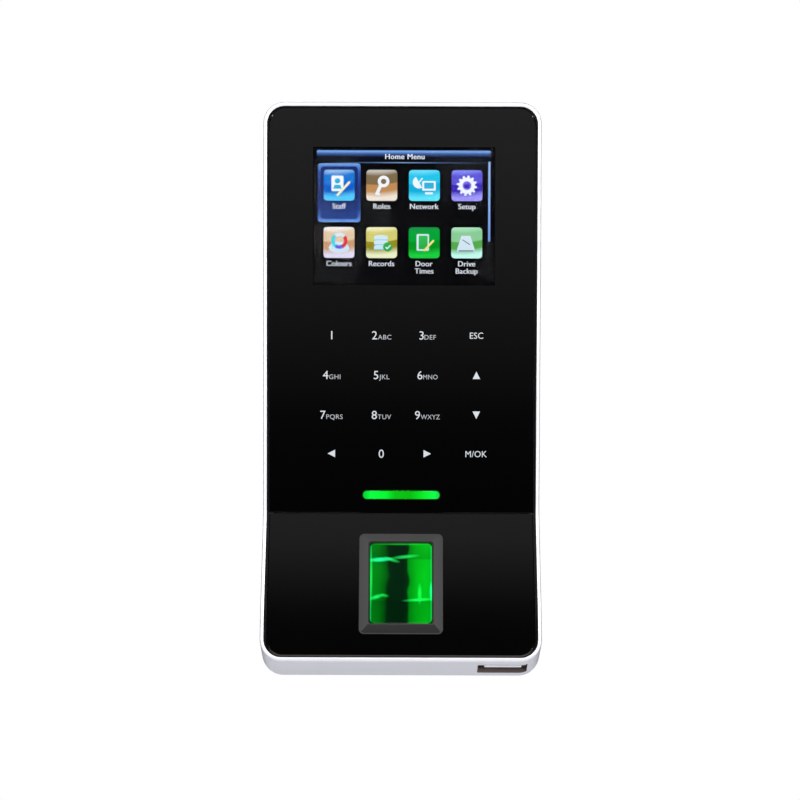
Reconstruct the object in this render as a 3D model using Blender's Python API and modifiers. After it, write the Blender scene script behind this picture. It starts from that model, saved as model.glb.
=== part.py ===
"""Wall terminal with a fingerprint reader, a colour display and a touch keypad.

World frame: X to the right, front faces -Y, Z up.  The origin is the centre of the
steel wall plate's back face, so the wall is the plane y = 0.  Sizes are millimetres.
"""
import math

import bmesh
import bpy
from mathutils import Matrix, Vector

MM = 0.001

# Silver frame: a bent band whose lower part leans out from the wall.
HALF_WIDTH = 39.0
TOP_Z = 80.0
CREASE_Z = -35.4
RIM_BOTTOM_Z = -75.5
UPPER_FRONT_Y = -10.5
LOWER_FRONT_Y = -19.4
CORNER_RADIUS = 6.0
RIM = 1.3
BAND_DEPTH = 10.1
BAND_GROWTH = 0.09          # the band is this much deeper at its bottom end
CHIN_FALL = 0.5             # the underside drops this much per millimetre of depth
SHEAR_START_Z = -60.0
SHEAR_END_Z = -69.0
ARC_STEPS = 6

# Front plates
PLATE_RECESS = 0.3
PLATE_THICK = 1.5
PLATE_GAP = 0.4
WINDOW_X = (-24.9, 25.9)
WINDOW_Z = (28.7, 67.2)
LIGHT_HALF = 10.8
LIGHT_Z = -30.2
LIGHT_HEIGHT = 2.4

# Fingerprint reader, measured down the leaning face from the crease
SENSOR_S = -19.7            # centre of the reader
BEZEL = (23.3, 27.9)
PRISM = (17.1, 22.6)

# Socket in the underside
PORT_X = 28.2
PORT_SIZE = (13.2, 5.2)
PORT_DEPTH = 5.4            # centre of the socket behind the leaning face

# Wall plate and hooks
STEEL = 1.2
PLATE_HALF = (25.0, 70.0)
HOOK_X = 17.0
HOOK_Z = (51.0, -50.0)
HOOK_LIP = 5.0
LIFT = 5.5                  # travel that frees the terminal from the hooks
LOCK_Y = -5.2
TAB_Z = (-79.0, -77.8)

COVER_INNER_Y = -3.3
COVER_BACK_Y = -0.3
RECESS_Y = -1.7
POD_HALF = 28.5
POD_BOTTOM_Z = -77.5
GAP = 0.3

LEAN = math.atan((UPPER_FRONT_Y - LOWER_FRONT_Y) / (CREASE_Z - RIM_BOTTOM_Z))


def clear_scene():
    for obj in list(bpy.data.objects):
        bpy.data.objects.remove(obj, do_unlink=True)


def new_collection(name):
    group = bpy.data.collections.new(name)
    bpy.context.scene.collection.children.link(group)
    return group


clear_scene()
PARTS = new_collection("fingerprint_terminal")
CUTTERS = new_collection("cutters")


def material(name, colour, roughness, metallic=0.0):
    """A Principled material, made once for each name."""
    mat = bpy.data.materials.get(name)
    if mat is None:
        mat = bpy.data.materials.new(name)
        mat.use_nodes = True
        shader = mat.node_tree.nodes["Principled BSDF"]
        shader.inputs["Base Color"].default_value = (*colour, 1.0)
        shader.inputs["Roughness"].default_value = roughness
        shader.inputs["Metallic"].default_value = metallic
    return mat


FINISHES = {
    "silver_paint": ((0.80, 0.80, 0.82), 0.35, 0.3),
    "black_gloss": ((0.012, 0.012, 0.013), 0.08, 0.0),
    "clear_window": ((0.03, 0.03, 0.035), 0.05, 0.0),
    "green_light": ((0.02, 0.75, 0.12), 0.3, 0.0),
    "bezel_plastic": ((0.07, 0.07, 0.07), 0.55, 0.0),
    "prism_glass": ((0.05, 0.45, 0.10), 0.05, 0.0),
    "dark_plastic": ((0.03, 0.03, 0.032), 0.6, 0.0),
    "zinc_steel": ((0.62, 0.63, 0.65), 0.4, 1.0),
    "screw_steel": ((0.55, 0.55, 0.56), 0.35, 1.0),
    "socket_metal": ((0.70, 0.70, 0.70), 0.3, 1.0),
    "white_plastic": ((0.85, 0.84, 0.80), 0.5, 0.0),
    "green_board": ((0.01, 0.16, 0.06), 0.45, 0.0),
    "chip_black": ((0.02, 0.02, 0.02), 0.5, 0.0),
    "flex_film": ((0.55, 0.30, 0.05), 0.4, 0.0),
    "display_glass": ((0.05, 0.07, 0.10), 0.1, 0.0),
    "brass": ((0.75, 0.55, 0.22), 0.35, 1.0),
    "black_rubber": ((0.02, 0.02, 0.02), 0.8, 0.0),
    "lamp_white": ((0.9, 0.95, 0.9), 0.4, 0.0),
    "mirror_glass": ((0.9, 0.9, 0.9), 0.02, 1.0),
}


def finish(obj, name):
    obj.data.materials.clear()
    obj.data.materials.append(material(name, *FINISHES[name]))
    return obj


def add_object(name, mesh, parent=None):
    obj = bpy.data.objects.new(name, mesh)
    PARTS.objects.link(obj)
    obj.parent = parent
    return obj


def as_cutter(obj):
    PARTS.objects.unlink(obj)
    CUTTERS.objects.link(obj)
    obj.hide_render = True
    obj.display_type = "WIRE"
    return obj


def boolean(target, operation, *others):
    for other in others:
        mod = target.modifiers.new(operation.lower(), "BOOLEAN")
        mod.operation = operation
        mod.solver = "EXACT"
        mod.object = other
    return target


def cut(target, *others):
    return boolean(target, "DIFFERENCE", *others)


def join(target, *others):
    return boolean(target, "UNION", *others)


def mesh_from(name, bm):
    mesh = bpy.data.meshes.new(name)
    bm.to_mesh(mesh)
    bm.free()
    return mesh


def box(name, x, y, z, parent=None, radius=0.0, along="y", steps=3, origin=None):
    """A box between two corners; radius rounds its four edges along one axis."""
    bm = bmesh.new()
    low = Vector((x[0], y[0], z[0])) * MM
    high = Vector((x[1], y[1], z[1])) * MM
    size = high - low
    middle = (low + high) / 2
    bmesh.ops.create_cube(bm, size=1.0, matrix=Matrix.Diagonal((*size, 1.0)))
    if radius:
        axis = "xyz".index(along)
        edges = []
        for edge in bm.edges:
            step = edge.verts[0].co - edge.verts[1].co
            if abs(step[axis]) > 0.9 * step.length:
                edges.append(edge)
        bmesh.ops.bevel(bm, geom=edges, offset=radius * MM, segments=steps,
                        affect="EDGES", profile=0.5)
    place = middle if origin is None else Vector(origin) * MM
    bmesh.ops.translate(bm, verts=bm.verts, vec=middle - place)
    obj = add_object(name, mesh_from(name, bm), parent)
    obj.location = place
    return obj


def turned(name, profile, place, turn=(0.0, 0.0, 0.0), parent=None, steps=20):
    """A turned piece: (radius, height) points from the top down the outer side."""
    mesh = bpy.data.meshes.new(name)
    points = [(r * MM, 0.0, h * MM) for r, h in profile]
    edges = [(i, i + 1) for i in range(len(points) - 1)]
    mesh.from_pydata(points, edges, [])
    obj = add_object(name, mesh, parent)
    obj.location = Vector(place) * MM
    obj.rotation_euler = turn
    mod = obj.modifiers.new("turn", "SCREW")
    mod.steps = steps
    mod.render_steps = steps
    mod.use_merge_vertices = True
    mod.merge_threshold = 0.00001
    mod.use_smooth_shade = True
    return obj


def rod(name, radius, length, place, turn=(0.0, 0.0, 0.0), parent=None, steps=20):
    """A plain round bar centred on its place, its axis along local Z."""
    half = length / 2
    profile = [(0, half), (radius, half), (radius, -half), (0, -half)]
    return turned(name, profile, place, turn, parent, steps)


ALONG_Y = (-math.pi / 2, 0.0, 0.0)


# ---------------------------------------------------------------- the bent band

def front_y(z):
    """Front surface of the frame: flat above the crease, leaning out below it."""
    return UPPER_FRONT_Y - math.tan(LEAN) * max(0.0, CREASE_Z - z)


def blend(value, start, end):
    t = min(1.0, max(0.0, (value - start) / (end - start)))
    return t * t * (3 - 2 * t)


def band_point(x, z, depth):
    """A point of the band, at (x, z) on its front and a depth behind it."""
    fraction = min(1.0, max(0.0, (CREASE_Z - z) / (CREASE_Z - RIM_BOTTOM_Z)))
    grown = depth * (1 + BAND_GROWTH * fraction)
    fall = CHIN_FALL * grown * blend(z, SHEAR_START_Z, SHEAR_END_Z)
    return Vector((x, front_y(z) + grown, z - fall)) * MM


def outline_rows(inset):
    """(height, half width) rows of the frame's rounded outline, from the bottom up."""
    radius = max(0.6, CORNER_RADIUS - inset)
    half = HALF_WIDTH - inset
    low = RIM_BOTTOM_Z + inset + radius
    high = TOP_Z - inset - radius
    rows = []
    for i in range(ARC_STEPS + 1):
        a = math.pi / 2 * (1 - i / ARC_STEPS)
        rows.append((low - radius * math.sin(a), half - radius + radius * math.cos(a)))
    for z in (-66.5, -63.0, SHEAR_START_Z, CREASE_Z):
        rows.append((z, half))
    for i in range(ARC_STEPS + 1):
        a = math.pi / 2 * i / ARC_STEPS
        rows.append((high + radius * math.sin(a), half - radius + radius * math.cos(a)))
    return rows


def plain_rows(half, low, high):
    """Rows of a square-cornered opening, with one at the crease where it crosses it."""
    levels = [low, high]
    if low < CREASE_Z < high:
        levels.insert(1, CREASE_Z)
    return [(z, half) for z in levels]


def bent_block(name, rings):
    """A closed block lofted through rings of (rows, depth), front to back."""
    bm = bmesh.new()
    loops = []
    for rows, depth in rings:
        right = [bm.verts.new(band_point(half, z, depth)) for z, half in rows]
        left = [bm.verts.new(band_point(-half, z, depth)) for z, half in rows]
        loops.append((left, right))
    for (left, right), facing in ((loops[0], 1), (loops[-1], -1)):
        for i in range(len(left) - 1):
            face = [left[i], right[i], right[i + 1], left[i + 1]]
            bm.faces.new(face[::facing])
    for (left_a, right_a), (left_b, right_b) in zip(loops, loops[1:]):
        ring_a = right_a + left_a[::-1]
        ring_b = right_b + left_b[::-1]
        count = len(ring_a)
        for i in range(count):
            j = (i + 1) % count
            bm.faces.new([ring_a[j], ring_a[i], ring_b[i], ring_b[j]])
    bmesh.ops.recalc_face_normals(bm, faces=bm.faces)
    return add_object(name, mesh_from(name, bm))


slope = bpy.data.objects.new("leaning_face", None)
PARTS.objects.link(slope)
slope.location = Vector((0.0, UPPER_FRONT_Y, CREASE_Z)) * MM
slope.rotation_euler = (-LEAN, 0.0, 0.0)

# Screws that hold the rear cover and the main board, as (side, height)
COVER_SCREWS = [(-1, 71.0), (1, 71.0), (-1, -60.0), (1, -60.0)]
BOARD_SCREWS = [(-1, 40.0), (1, 40.0), (-1, -22.0), (1, -22.0)]
SCREW_X = 33.0


# ---------------------------------------------------------------- front frame

def make_front_frame():
    frame = bent_block("front_frame", [(outline_rows(0.4), 0.0),
                                       (outline_rows(0.0), 0.4),
                                       (outline_rows(0.0), BAND_DEPTH)])
    pocket = as_cutter(bent_block("panel_pocket", [(outline_rows(RIM), -3.0),
                                                   (outline_rows(RIM), 2.1)]))
    cavity = as_cutter(bent_block("inner_cavity", [(outline_rows(RIM + 0.3), 3.3),
                                                   (outline_rows(RIM + 0.3), 15.0)]))
    upper = as_cutter(bent_block("upper_opening", [(plain_rows(36.2, -33.4, 77.0), 1.0),
                                                   (plain_rows(36.2, -33.4, 77.0), 5.0)]))
    lower = as_cutter(bent_block("lower_opening", [(plain_rows(36.2, -72.6, -38.4), 1.0),
                                                   (plain_rows(36.2, -72.6, -38.4), 5.0)]))
    cut(frame, pocket, cavity, upper, lower)
    for side, z in COVER_SCREWS:
        y = front_y(z) + 2.5
        back = COVER_INNER_Y - GAP if z > 0 else front_y(z) + 6.4
        x = sorted((side * (SCREW_X - 2.8), side * 38.2))
        join(frame, as_cutter(box("cover_boss", x, (y, back), (z - 2.8, z + 2.8))))
        cut(frame, as_cutter(rod("cover_pilot", 1.3, 3.2, (side * SCREW_X, back - 1.2, z),
                                 ALONG_Y, steps=14)))
    for side, z in BOARD_SCREWS:
        x = sorted((side * (SCREW_X - 2.2), side * 38.2))
        join(frame, as_cutter(box("board_boss", x, (-8.3, -6.2), (z - 2.2, z + 2.2))))
        cut(frame, as_cutter(rod("board_pilot", 1.1, 2.4, (side * SCREW_X, -6.6, z),
                                 ALONG_Y, steps=14)))
    half_x = PORT_SIZE[0] / 2 + GAP
    half_y = PORT_SIZE[1] / 2 + GAP
    cut(frame, as_cutter(box("port_cut", (PORT_X - half_x, PORT_X + half_x),
                             (PORT_DEPTH - half_y, PORT_DEPTH + half_y), (-50, -30),
                             slope, radius=0.5, along="z", steps=2)))
    return finish(frame, "silver_paint")


# ---------------------------------------------------------------- front plates

def make_front_plates():
    half = HALF_WIDTH - RIM - PLATE_GAP
    y0 = UPPER_FRONT_Y + PLATE_RECESS
    y1 = y0 + PLATE_THICK
    top = TOP_Z - RIM - PLATE_GAP
    upper = bent_block("upper_front_panel",
                       [(upper_plate_rows(half, top), PLATE_RECESS),
                        (upper_plate_rows(half, top), PLATE_RECESS + PLATE_THICK)])
    window = (WINDOW_X[0] - GAP, WINDOW_X[1] + GAP)
    window_z = (WINDOW_Z[0] - GAP, WINDOW_Z[1] + GAP)
    cut(upper, as_cutter(box("window_cut", window, (y0 - 1, y1 + 1), window_z)))
    light = LIGHT_HALF + GAP
    light_z = LIGHT_HEIGHT / 2 + GAP
    cut(upper, as_cutter(box("light_cut", (-light, light), (y0 - 1, y1 + 1),
                             (LIGHT_Z - light_z, LIGHT_Z + light_z), radius=light_z - 0.02,
                             steps=5)))
    finish(upper, "black_gloss")

    finish(box("display_window", WINDOW_X, (y0, y1), WINDOW_Z), "clear_window")
    finish(box("status_light_bar", (-LIGHT_HALF, LIGHT_HALF), (y0, y1 + 0.7),
               (LIGHT_Z - LIGHT_HEIGHT / 2, LIGHT_Z + LIGHT_HEIGHT / 2),
               radius=LIGHT_HEIGHT / 2 - 0.02, steps=5), "green_light")

    bottom = (RIM_BOTTOM_Z + RIM + PLATE_GAP - CREASE_Z) / math.cos(LEAN)
    lower = box("lower_front_panel", (-half, half),
                (PLATE_RECESS, PLATE_RECESS + PLATE_THICK), (bottom, -0.1), slope)
    corner = as_cutter(box("corner_round", (-half - 0.01, half + 0.01), (-1, 4),
                           (bottom - 0.01, 12), slope, radius=CORNER_RADIUS - RIM - PLATE_GAP))
    boolean(lower, "INTERSECT", corner)
    opening = (BEZEL[0] - 0.6, BEZEL[1] - 0.6)
    cut(lower, as_cutter(box("reader_cut", (-opening[0] / 2, opening[0] / 2), (-2, 4),
                             (SENSOR_S - opening[1] / 2, SENSOR_S + opening[1] / 2),
                             slope, radius=1.0)))
    finish(lower, "black_gloss")


def upper_plate_rows(half, top):
    """The upper plate is square at the crease and rounded at its top corners."""
    radius = CORNER_RADIUS - RIM - PLATE_GAP
    rows = [(CREASE_Z + 0.15, half)]
    for i in range(ARC_STEPS + 1):
        a = math.pi / 2 * i / ARC_STEPS
        rows.append((top - radius + radius * math.sin(a), half - radius + radius * math.cos(a)))
    return rows


# ---------------------------------------------------------------- fingerprint reader

def make_reader():
    wide, tall = BEZEL
    top = SENSOR_S + tall / 2
    low = SENSOR_S - tall / 2
    bezel = box("sensor_bezel", (-wide / 2, wide / 2), (-0.4, 0.0), (low, top), slope,
                radius=1.4)
    join(bezel, as_cutter(box("bezel_body", (-wide / 2 + 0.6, wide / 2 - 0.6), (-0.1, 2.2),
                              (low + 0.6, top - 0.6), slope, radius=1.0)))
    px = PRISM[0] / 2
    pz = PRISM[1] / 2
    cut(bezel, as_cutter(box("bezel_opening", (-px - GAP, px + GAP), (-2, 4),
                             (SENSOR_S - pz - GAP, SENSOR_S + pz + GAP), slope, radius=1.3)))
    finish(bezel, "bezel_plastic")
    finish(box("sensor_prism", (-px, px), (0.5, 3.0), (SENSOR_S - pz, SENSOR_S + pz), slope,
               radius=1.1), "prism_glass")

    housing = box("sensor_housing", (-12.0, 12.0), (2.6, 7.4), (low - 0.4, top + 0.4), slope,
                  radius=1.0)
    cut(housing, as_cutter(box("housing_room", (-10.8, 10.8), (1.0, 6.4),
                               (low + 0.8, top - 0.8), slope)))
    finish(housing, "dark_plastic")
    finish(box("sensor_mirror", (-8.0, 8.0), (3.4, 4.2),
               (SENSOR_S + 2.0, SENSOR_S + 11.0), slope), "mirror_glass")
    finish(rod("sensor_lens", 2.4, 1.4, (0.0, 4.3, SENSOR_S - 4.0), ALONG_Y, slope),
           "display_glass")
    finish(box("sensor_image_chip", (-2.6, 2.6), (5.2, 5.6),
               (SENSOR_S - 6.6, SENSOR_S - 1.4), slope), "chip_black")
    finish(box("sensor_camera_board", (-9.5, 9.5), (5.8, 6.2),
               (SENSOR_S - 10.5, SENSOR_S + 10.5), slope), "green_board")
    finish(box("sensor_lamp_board", (-7.5, 7.5), (3.3, 3.7),
               (SENSOR_S - 12.3, SENSOR_S - 8.5), slope), "lamp_white")
    finish(box("sensor_flat_cable", (-4.0, 4.0), (7.7, 7.9),
               (SENSOR_S - 6.0, SENSOR_S + 12.0), slope), "flex_film")


# ---------------------------------------------------------------- socket in the underside

def make_port():
    half_x = PORT_SIZE[0] / 2
    half_y = PORT_SIZE[1] / 2
    x = (PORT_X - half_x, PORT_X + half_x)
    y = (PORT_DEPTH - half_y, PORT_DEPTH + half_y)
    shell = box("usb_socket", x, y, (-41.8, -31.5), slope, radius=0.6, along="z", steps=2)
    room = box("socket_room", (x[0] + 0.5, x[1] - 0.5), (y[0] + 0.5, y[1] - 0.5),
               (-45.0, -32.6), slope)
    finish(cut(shell, as_cutter(room)), "socket_metal")
    finish(box("usb_tongue", (x[0] + 1.6, x[1] - 1.6), (y[0] + 1.6, y[0] + 2.8),
               (-42.3, -32.9), slope), "white_plastic")
    finish(box("usb_board", (x[0] - 3.0, x[1] + 0.4), (y[1] + GAP, y[1] + 1.1),
               (-38.4, -31.0), slope), "green_board")


# ---------------------------------------------------------------- display and keypad

def make_display():
    x = (WINDOW_X[0] - 2.4, WINDOW_X[1] + 2.4)
    z = (WINDOW_Z[0] - 3.2, WINDOW_Z[1] + 1.6)
    tray = box("display_frame", x, (-8.4, -6.2), z)
    cut(tray, as_cutter(box("display_room", (x[0] + 0.6, x[1] - 0.6), (-9.0, -6.7),
                            (z[0] + 0.6, z[1] - 0.6))))
    finish(tray, "socket_metal")
    inner_x = (x[0] + 0.9, x[1] - 0.9)
    inner_z = (z[0] + 0.9, z[1] - 0.9)
    finish(box("display_panel", inner_x, (-8.4, -7.7), inner_z), "display_glass")
    finish(box("display_backlight", inner_x, (-7.5, -6.9), inner_z), "lamp_white")
    finish(box("display_flat_cable", (-6.0, 7.0), (-7.1, -6.9), (8.0, z[0] - 0.3)),
           "flex_film")


def make_keypad():
    finish(box("touch_keypad_board", (-29.0, 30.0), (-8.4, -7.6), (-25.5, 22.0)),
           "green_board")
    finish(box("touch_controller", (-16.0, -9.0), (-7.3, -6.4), (-8.0, -1.0)), "chip_black")
    finish(box("keypad_flat_cable", (12.0, 22.0), (-7.3, -7.1), (-20.0, 0.0)), "flex_film")
    finish(box("status_light_board", (-14.0, 14.0), (-6.9, -6.3), (-32.6, -27.4)),
           "green_board")
    for side, label in ((-1, "left"), (1, "right")):
        x = sorted((side * 6.0, side * 9.0))
        finish(box("status_lamp_" + label, x, (-7.7, -7.2), (LIGHT_Z - 1, LIGHT_Z + 1)),
               "lamp_white")


# ---------------------------------------------------------------- main board

def make_main_board():
    board = box("main_board", (-35.0, 35.0), (-5.9, -4.9), (-32.5, 48.0), radius=1.5)
    for side, z in BOARD_SCREWS:
        cut(board, as_cutter(rod("board_hole", 1.4, 3.0, (side * SCREW_X, -5.4, z),
                                 ALONG_Y, steps=14)))
    finish(board, "green_board")
    chips = (("processor", (-9.0, 5.0), (20.0, 34.0), 1.0),
             ("memory_chip", (9.0, 18.0), (21.0, 33.0), 0.9),
             ("storage_chip", (-24.0, -14.0), (22.0, 34.0), 0.9),
             ("network_chip", (7.0, 14.0), (3.0, 10.0), 0.8),
             ("power_regulator", (-13.0, -7.0), (4.0, 10.0), 1.0),
             ("wireless_module", (-32.0, -18.0), (-15.0, 0.0), 1.0))
    for name, x, z, height in chips:
        finish(box(name, x, (-4.6, -4.6 + height), z), "chip_black")
    finish(turned("clock_battery", [(0, 0.6), (4.8, 0.6), (5.0, 0.4), (5.0, -0.6), (0, -0.6)],
                  (25.5, -4.1, -8.0), ALONG_Y, steps=28), "screw_steel")
    sockets = (("power_connector", (-11.0, -4.4)), ("network_connector", (-3.3, 3.3)),
               ("lock_connector", (4.4, 11.0)))
    for name, x in sockets:
        block = box(name, x, (-4.6, -2.0), (-19.0, -12.9))
        room = box("connector_room", (x[0] + 0.8, x[1] - 0.8), (-4.0, -2.8), (-21.0, -14.0))
        finish(cut(block, as_cutter(room)), "white_plastic")
    finish(turned("speaker", [(0, 1.6), (6.0, 1.6), (7.5, 1.0), (7.5, -1.6), (0, -1.6)],
                  (-18.0, -6.0, -66.0), ALONG_Y, steps=28), "dark_plastic")


# ---------------------------------------------------------------- rear cover

def make_rear_cover():
    inset = RIM + 0.3 + PLATE_GAP
    depth = (COVER_INNER_Y - UPPER_FRONT_Y, COVER_BACK_Y - UPPER_FRONT_Y)
    cover = bent_block("rear_cover", [(outline_rows(inset), depth[0]),
                                      (outline_rows(inset), depth[1])])
    join(cover, as_cutter(box("pod", (-POD_HALF, POD_HALF), (-9.5, COVER_BACK_Y),
                              (POD_BOTTOM_Z, -42.0), radius=2.0)),
         as_cutter(box("pod_top", (-POD_HALF, POD_HALF), (-3.6, COVER_BACK_Y),
                       (-46.0, -30.0), radius=2.0)))
    cut(cover, as_cutter(box("pod_room", (-POD_HALF + 1.6, POD_HALF - 1.6),
                             (-20.0, COVER_INNER_Y), (POD_BOTTOM_Z + 1.6, -36.0))))
    join(cover, as_cutter(box("port_bulge", (20.0, 36.4), (-9.5, -5.2),
                              (POD_BOTTOM_Z, -64.0), radius=1.5)))
    cut(cover, as_cutter(box("port_room", (16.0, 35.6), (-20.0, -6.4),
                             (POD_BOTTOM_Z + 1.6, -63.4))))
    cut(cover, as_cutter(box("port_mouth", (16.0, 35.6), (-20.0, -8.3), (-90.0, -70.0))))
    cut(cover, as_cutter(box("plate_recess", (-PLATE_HALF[0] - 0.4, PLATE_HALF[0] + 0.4),
                             (RECESS_Y, 1.0), (-90.0, PLATE_HALF[1] + 0.4))))
    boss = turned("lock_boss", [(0, 2.8), (4.0, 2.8), (4.0, -2.8), (0, -2.8)],
                  (0.0, LOCK_Y, POD_BOTTOM_Z + 3.8))
    join(cover, as_cutter(boss))
    cut(cover, as_cutter(rod("insert_bore", 2.6, 12.0, (0.0, LOCK_Y, POD_BOTTOM_Z - 1.6))),
        as_cutter(rod("lock_way", 1.7, 24.0, (0.0, LOCK_Y, POD_BOTTOM_Z))))
    cut(cover, as_cutter(box("tab_room", (-8.0, 8.0), (-9.6, 1.0), (-90.0, POD_BOTTOM_Z))))
    for side in (-1, 1):
        for z in HOOK_Z:
            x = sorted((side * (HOOK_X - 4.6), side * (HOOK_X + 4.6)))
            cut(cover, as_cutter(box("hook_slot", x, (-4.0, 0.0),
                                     (z - LIFT - GAP, z + STEEL + GAP))))
    cut(cover, as_cutter(box("wire_opening", (-13.0, 13.0), (-4.0, 0.5), (-29.0, -11.0),
                             radius=2.0)))
    for side, z in COVER_SCREWS:
        back = COVER_BACK_Y if z > 0 else front_y(z) + 11.0
        cut(cover, as_cutter(rod("screw_way", 1.5, 9.0, (side * SCREW_X, back - 2.0, z),
                                 ALONG_Y, steps=14)))
        cut(cover, as_cutter(rod("screw_seat", 2.6, 6.0, (side * SCREW_X, back + 1.5, z),
                                 ALONG_Y, steps=16)))
    for x, radius in ((21.0, 1.8), (-21.0, 1.6)):
        cut(cover, as_cutter(rod("pin_way", radius, 4.0, (x, -2.5, 10.0), ALONG_Y, steps=14)))
    finish(cover, "dark_plastic")
    grommet = box("wire_grommet", (-12.7, 12.7), (-3.2, -1.8), (-28.7, -11.3), radius=1.8)
    cut(grommet, as_cutter(box("grommet_way", (-11.6, 11.6), (-5.0, 0.5), (-27.6, -12.4),
                               radius=1.2)))
    finish(grommet, "black_rubber")


def make_screws():
    for i, (side, z) in enumerate(COVER_SCREWS, start=1):
        back = COVER_BACK_Y if z > 0 else front_y(z) + 11.0
        profile = [(0, 1.1), (1.6, 1.1), (2.2, 0.6), (2.2, 0.0), (1.0, 0.0), (1.0, -3.6),
                   (0.5, -4.2), (0, -4.2)]
        finish(turned("cover_screw_%d" % i, profile, (side * SCREW_X, back - 1.2, z), ALONG_Y,
                      steps=16), "screw_steel")
    for i, (side, z) in enumerate(BOARD_SCREWS, start=1):
        profile = [(0, 0.9), (1.4, 0.9), (1.8, 0.5), (1.8, 0.0), (0.8, 0.0), (0.8, -2.6),
                   (0, -2.6)]
        finish(turned("board_screw_%d" % i, profile, (side * SCREW_X, -4.6, z), ALONG_Y,
                      steps=16), "screw_steel")
    ring = [(1.6, 2.0), (2.3, 2.0), (2.3, -2.0), (1.6, -2.0), (1.6, 2.0)]
    insert = turned("threaded_insert", ring, (0.0, LOCK_Y, POD_BOTTOM_Z + 2.3))
    finish(insert, "brass")


# ---------------------------------------------------------------- switches on the back

def make_switches():
    for name, pin, x in (("tamper_switch", "tamper_plunger", 21.0),
                         ("reset_switch", "reset_button", -21.0)):
        body = box(name, (x - 3.0, x + 3.0), (-4.6, -3.6), (7.0, 13.0))
        finish(cut(body, as_cutter(rod("switch_bore", 1.5, 0.9 * 2, (x, -3.6, 10.0), ALONG_Y))),
               "chip_black")
        tip = -1.5 if pin == "tamper_plunger" else -2.0
        middle = (tip - 3.3) / 2
        finish(rod(pin, 1.2, tip + 3.3, (x, middle, 10.0), ALONG_Y),
               "white_plastic" if pin == "tamper_plunger" else "bezel_plastic")


# ---------------------------------------------------------------- wall plate and lock

def make_wall_plate():
    half, tall = PLATE_HALF
    plate = box("wall_plate", (-half, half), (-STEEL, 0.0), (-tall, tall), radius=3.0,
                origin=(0, 0, 0))
    join(plate, as_cutter(box("tongue", (-7.0, 7.0), (-STEEL, 0.0), (TAB_Z[0], -tall + 2.0))))
    join(plate, as_cutter(box("tab", (-7.0, 7.0), (-8.0, -STEEL / 2), TAB_Z)))
    for side in (-1, 1):
        for z in HOOK_Z:
            x = sorted((side * (HOOK_X - 4.0), side * (HOOK_X + 4.0)))
            stem = box("hook_stem", x, (-4.6, -STEEL / 2), (z, z + STEEL))
            lip = box("hook_lip", x, (-4.6, -3.7), (z + STEEL / 2, z + HOOK_LIP))
            join(plate, as_cutter(stem), as_cutter(lip))
    for x, z, wide, high in ((0.0, 62.0, 9.0, 4.2), (-17.0, -60.0, 4.2, 9.0),
                             (17.0, -60.0, 4.2, 9.0), (0.0, 32.0, 4.2, 9.0)):
        cut(plate, as_cutter(box("screw_slot", (x - wide / 2, x + wide / 2), (-3.0, 1.0),
                                 (z - high / 2, z + high / 2), radius=2.08, steps=4)))
    cut(plate, as_cutter(box("wire_way", (-15.0, 15.0), (-3.0, 1.0), (-31.0, -9.0),
                             radius=2.5)))
    cut(plate, as_cutter(rod("lock_hole", 1.7, 6.0, (0.0, LOCK_Y, TAB_Z[0]))))
    finish(plate, "zinc_steel")

    head = [(0, 1.3), (1.5, 1.3), (2.3, 0.7), (2.3, 0.0), (1.3, 0.0), (1.3, -6.4),
            (0.8, -6.9), (0, -6.9)]
    finish(turned("locking_screw", head, (0.0, LOCK_Y, TAB_Z[0] - GAP),
                  (math.pi, 0.0, 0.0)), "screw_steel")


make_front_frame()
make_front_plates()
make_reader()
make_port()
make_display()
make_keypad()
make_main_board()
make_rear_cover()
make_screws()
make_switches()
make_wall_plate()
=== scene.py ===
import math

import bmesh
import bpy
from mathutils import Matrix, Vector


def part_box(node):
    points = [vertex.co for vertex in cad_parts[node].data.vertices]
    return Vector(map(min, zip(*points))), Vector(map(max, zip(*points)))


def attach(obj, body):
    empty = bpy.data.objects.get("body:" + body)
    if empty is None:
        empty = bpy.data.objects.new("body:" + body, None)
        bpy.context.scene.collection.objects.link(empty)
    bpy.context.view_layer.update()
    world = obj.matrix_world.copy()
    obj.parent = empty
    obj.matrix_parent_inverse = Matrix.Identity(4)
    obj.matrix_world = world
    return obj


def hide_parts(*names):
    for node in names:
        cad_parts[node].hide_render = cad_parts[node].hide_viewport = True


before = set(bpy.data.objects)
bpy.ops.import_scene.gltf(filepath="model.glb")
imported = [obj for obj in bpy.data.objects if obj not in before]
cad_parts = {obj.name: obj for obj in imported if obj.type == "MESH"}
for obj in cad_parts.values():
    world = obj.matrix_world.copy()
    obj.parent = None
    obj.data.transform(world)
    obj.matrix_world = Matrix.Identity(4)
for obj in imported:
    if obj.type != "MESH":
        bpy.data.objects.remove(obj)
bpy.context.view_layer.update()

MM = 0.001
scene = bpy.context.scene
scene.view_settings.view_transform = "Standard"


# ------------------------------------------------------------------ camera and studio
# The terminal is shown straight on, a little below the middle of its height, as it hangs
# on a wall at hand height.  A pale floor lies well under it, and wide soft lamps above and
# below the lens leave the glossy front dark, with a slow fade from top to bottom.

VIEW_DISTANCE = 0.500
VIEW_ASIDE = -0.00045
VIEW_HEIGHT = -0.0036
VIEW_TURN = -0.2
FOCAL = 81.7
FLOOR_RADIUS = 0.62
FLOOR_DROP = 0.30
FRONT_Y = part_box("front_frame")[0].y

lens = bpy.data.cameras.new("front_view")
lens.lens = FOCAL
lens.sensor_width = 36.0
viewer = bpy.data.objects.new("front_view", lens)
viewer.location = (VIEW_ASIDE, FRONT_Y - VIEW_DISTANCE, VIEW_HEIGHT)
viewer.rotation_euler = (math.radians(90), math.radians(VIEW_TURN), 0)
scene.collection.objects.link(viewer)
scene.camera = viewer


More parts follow.
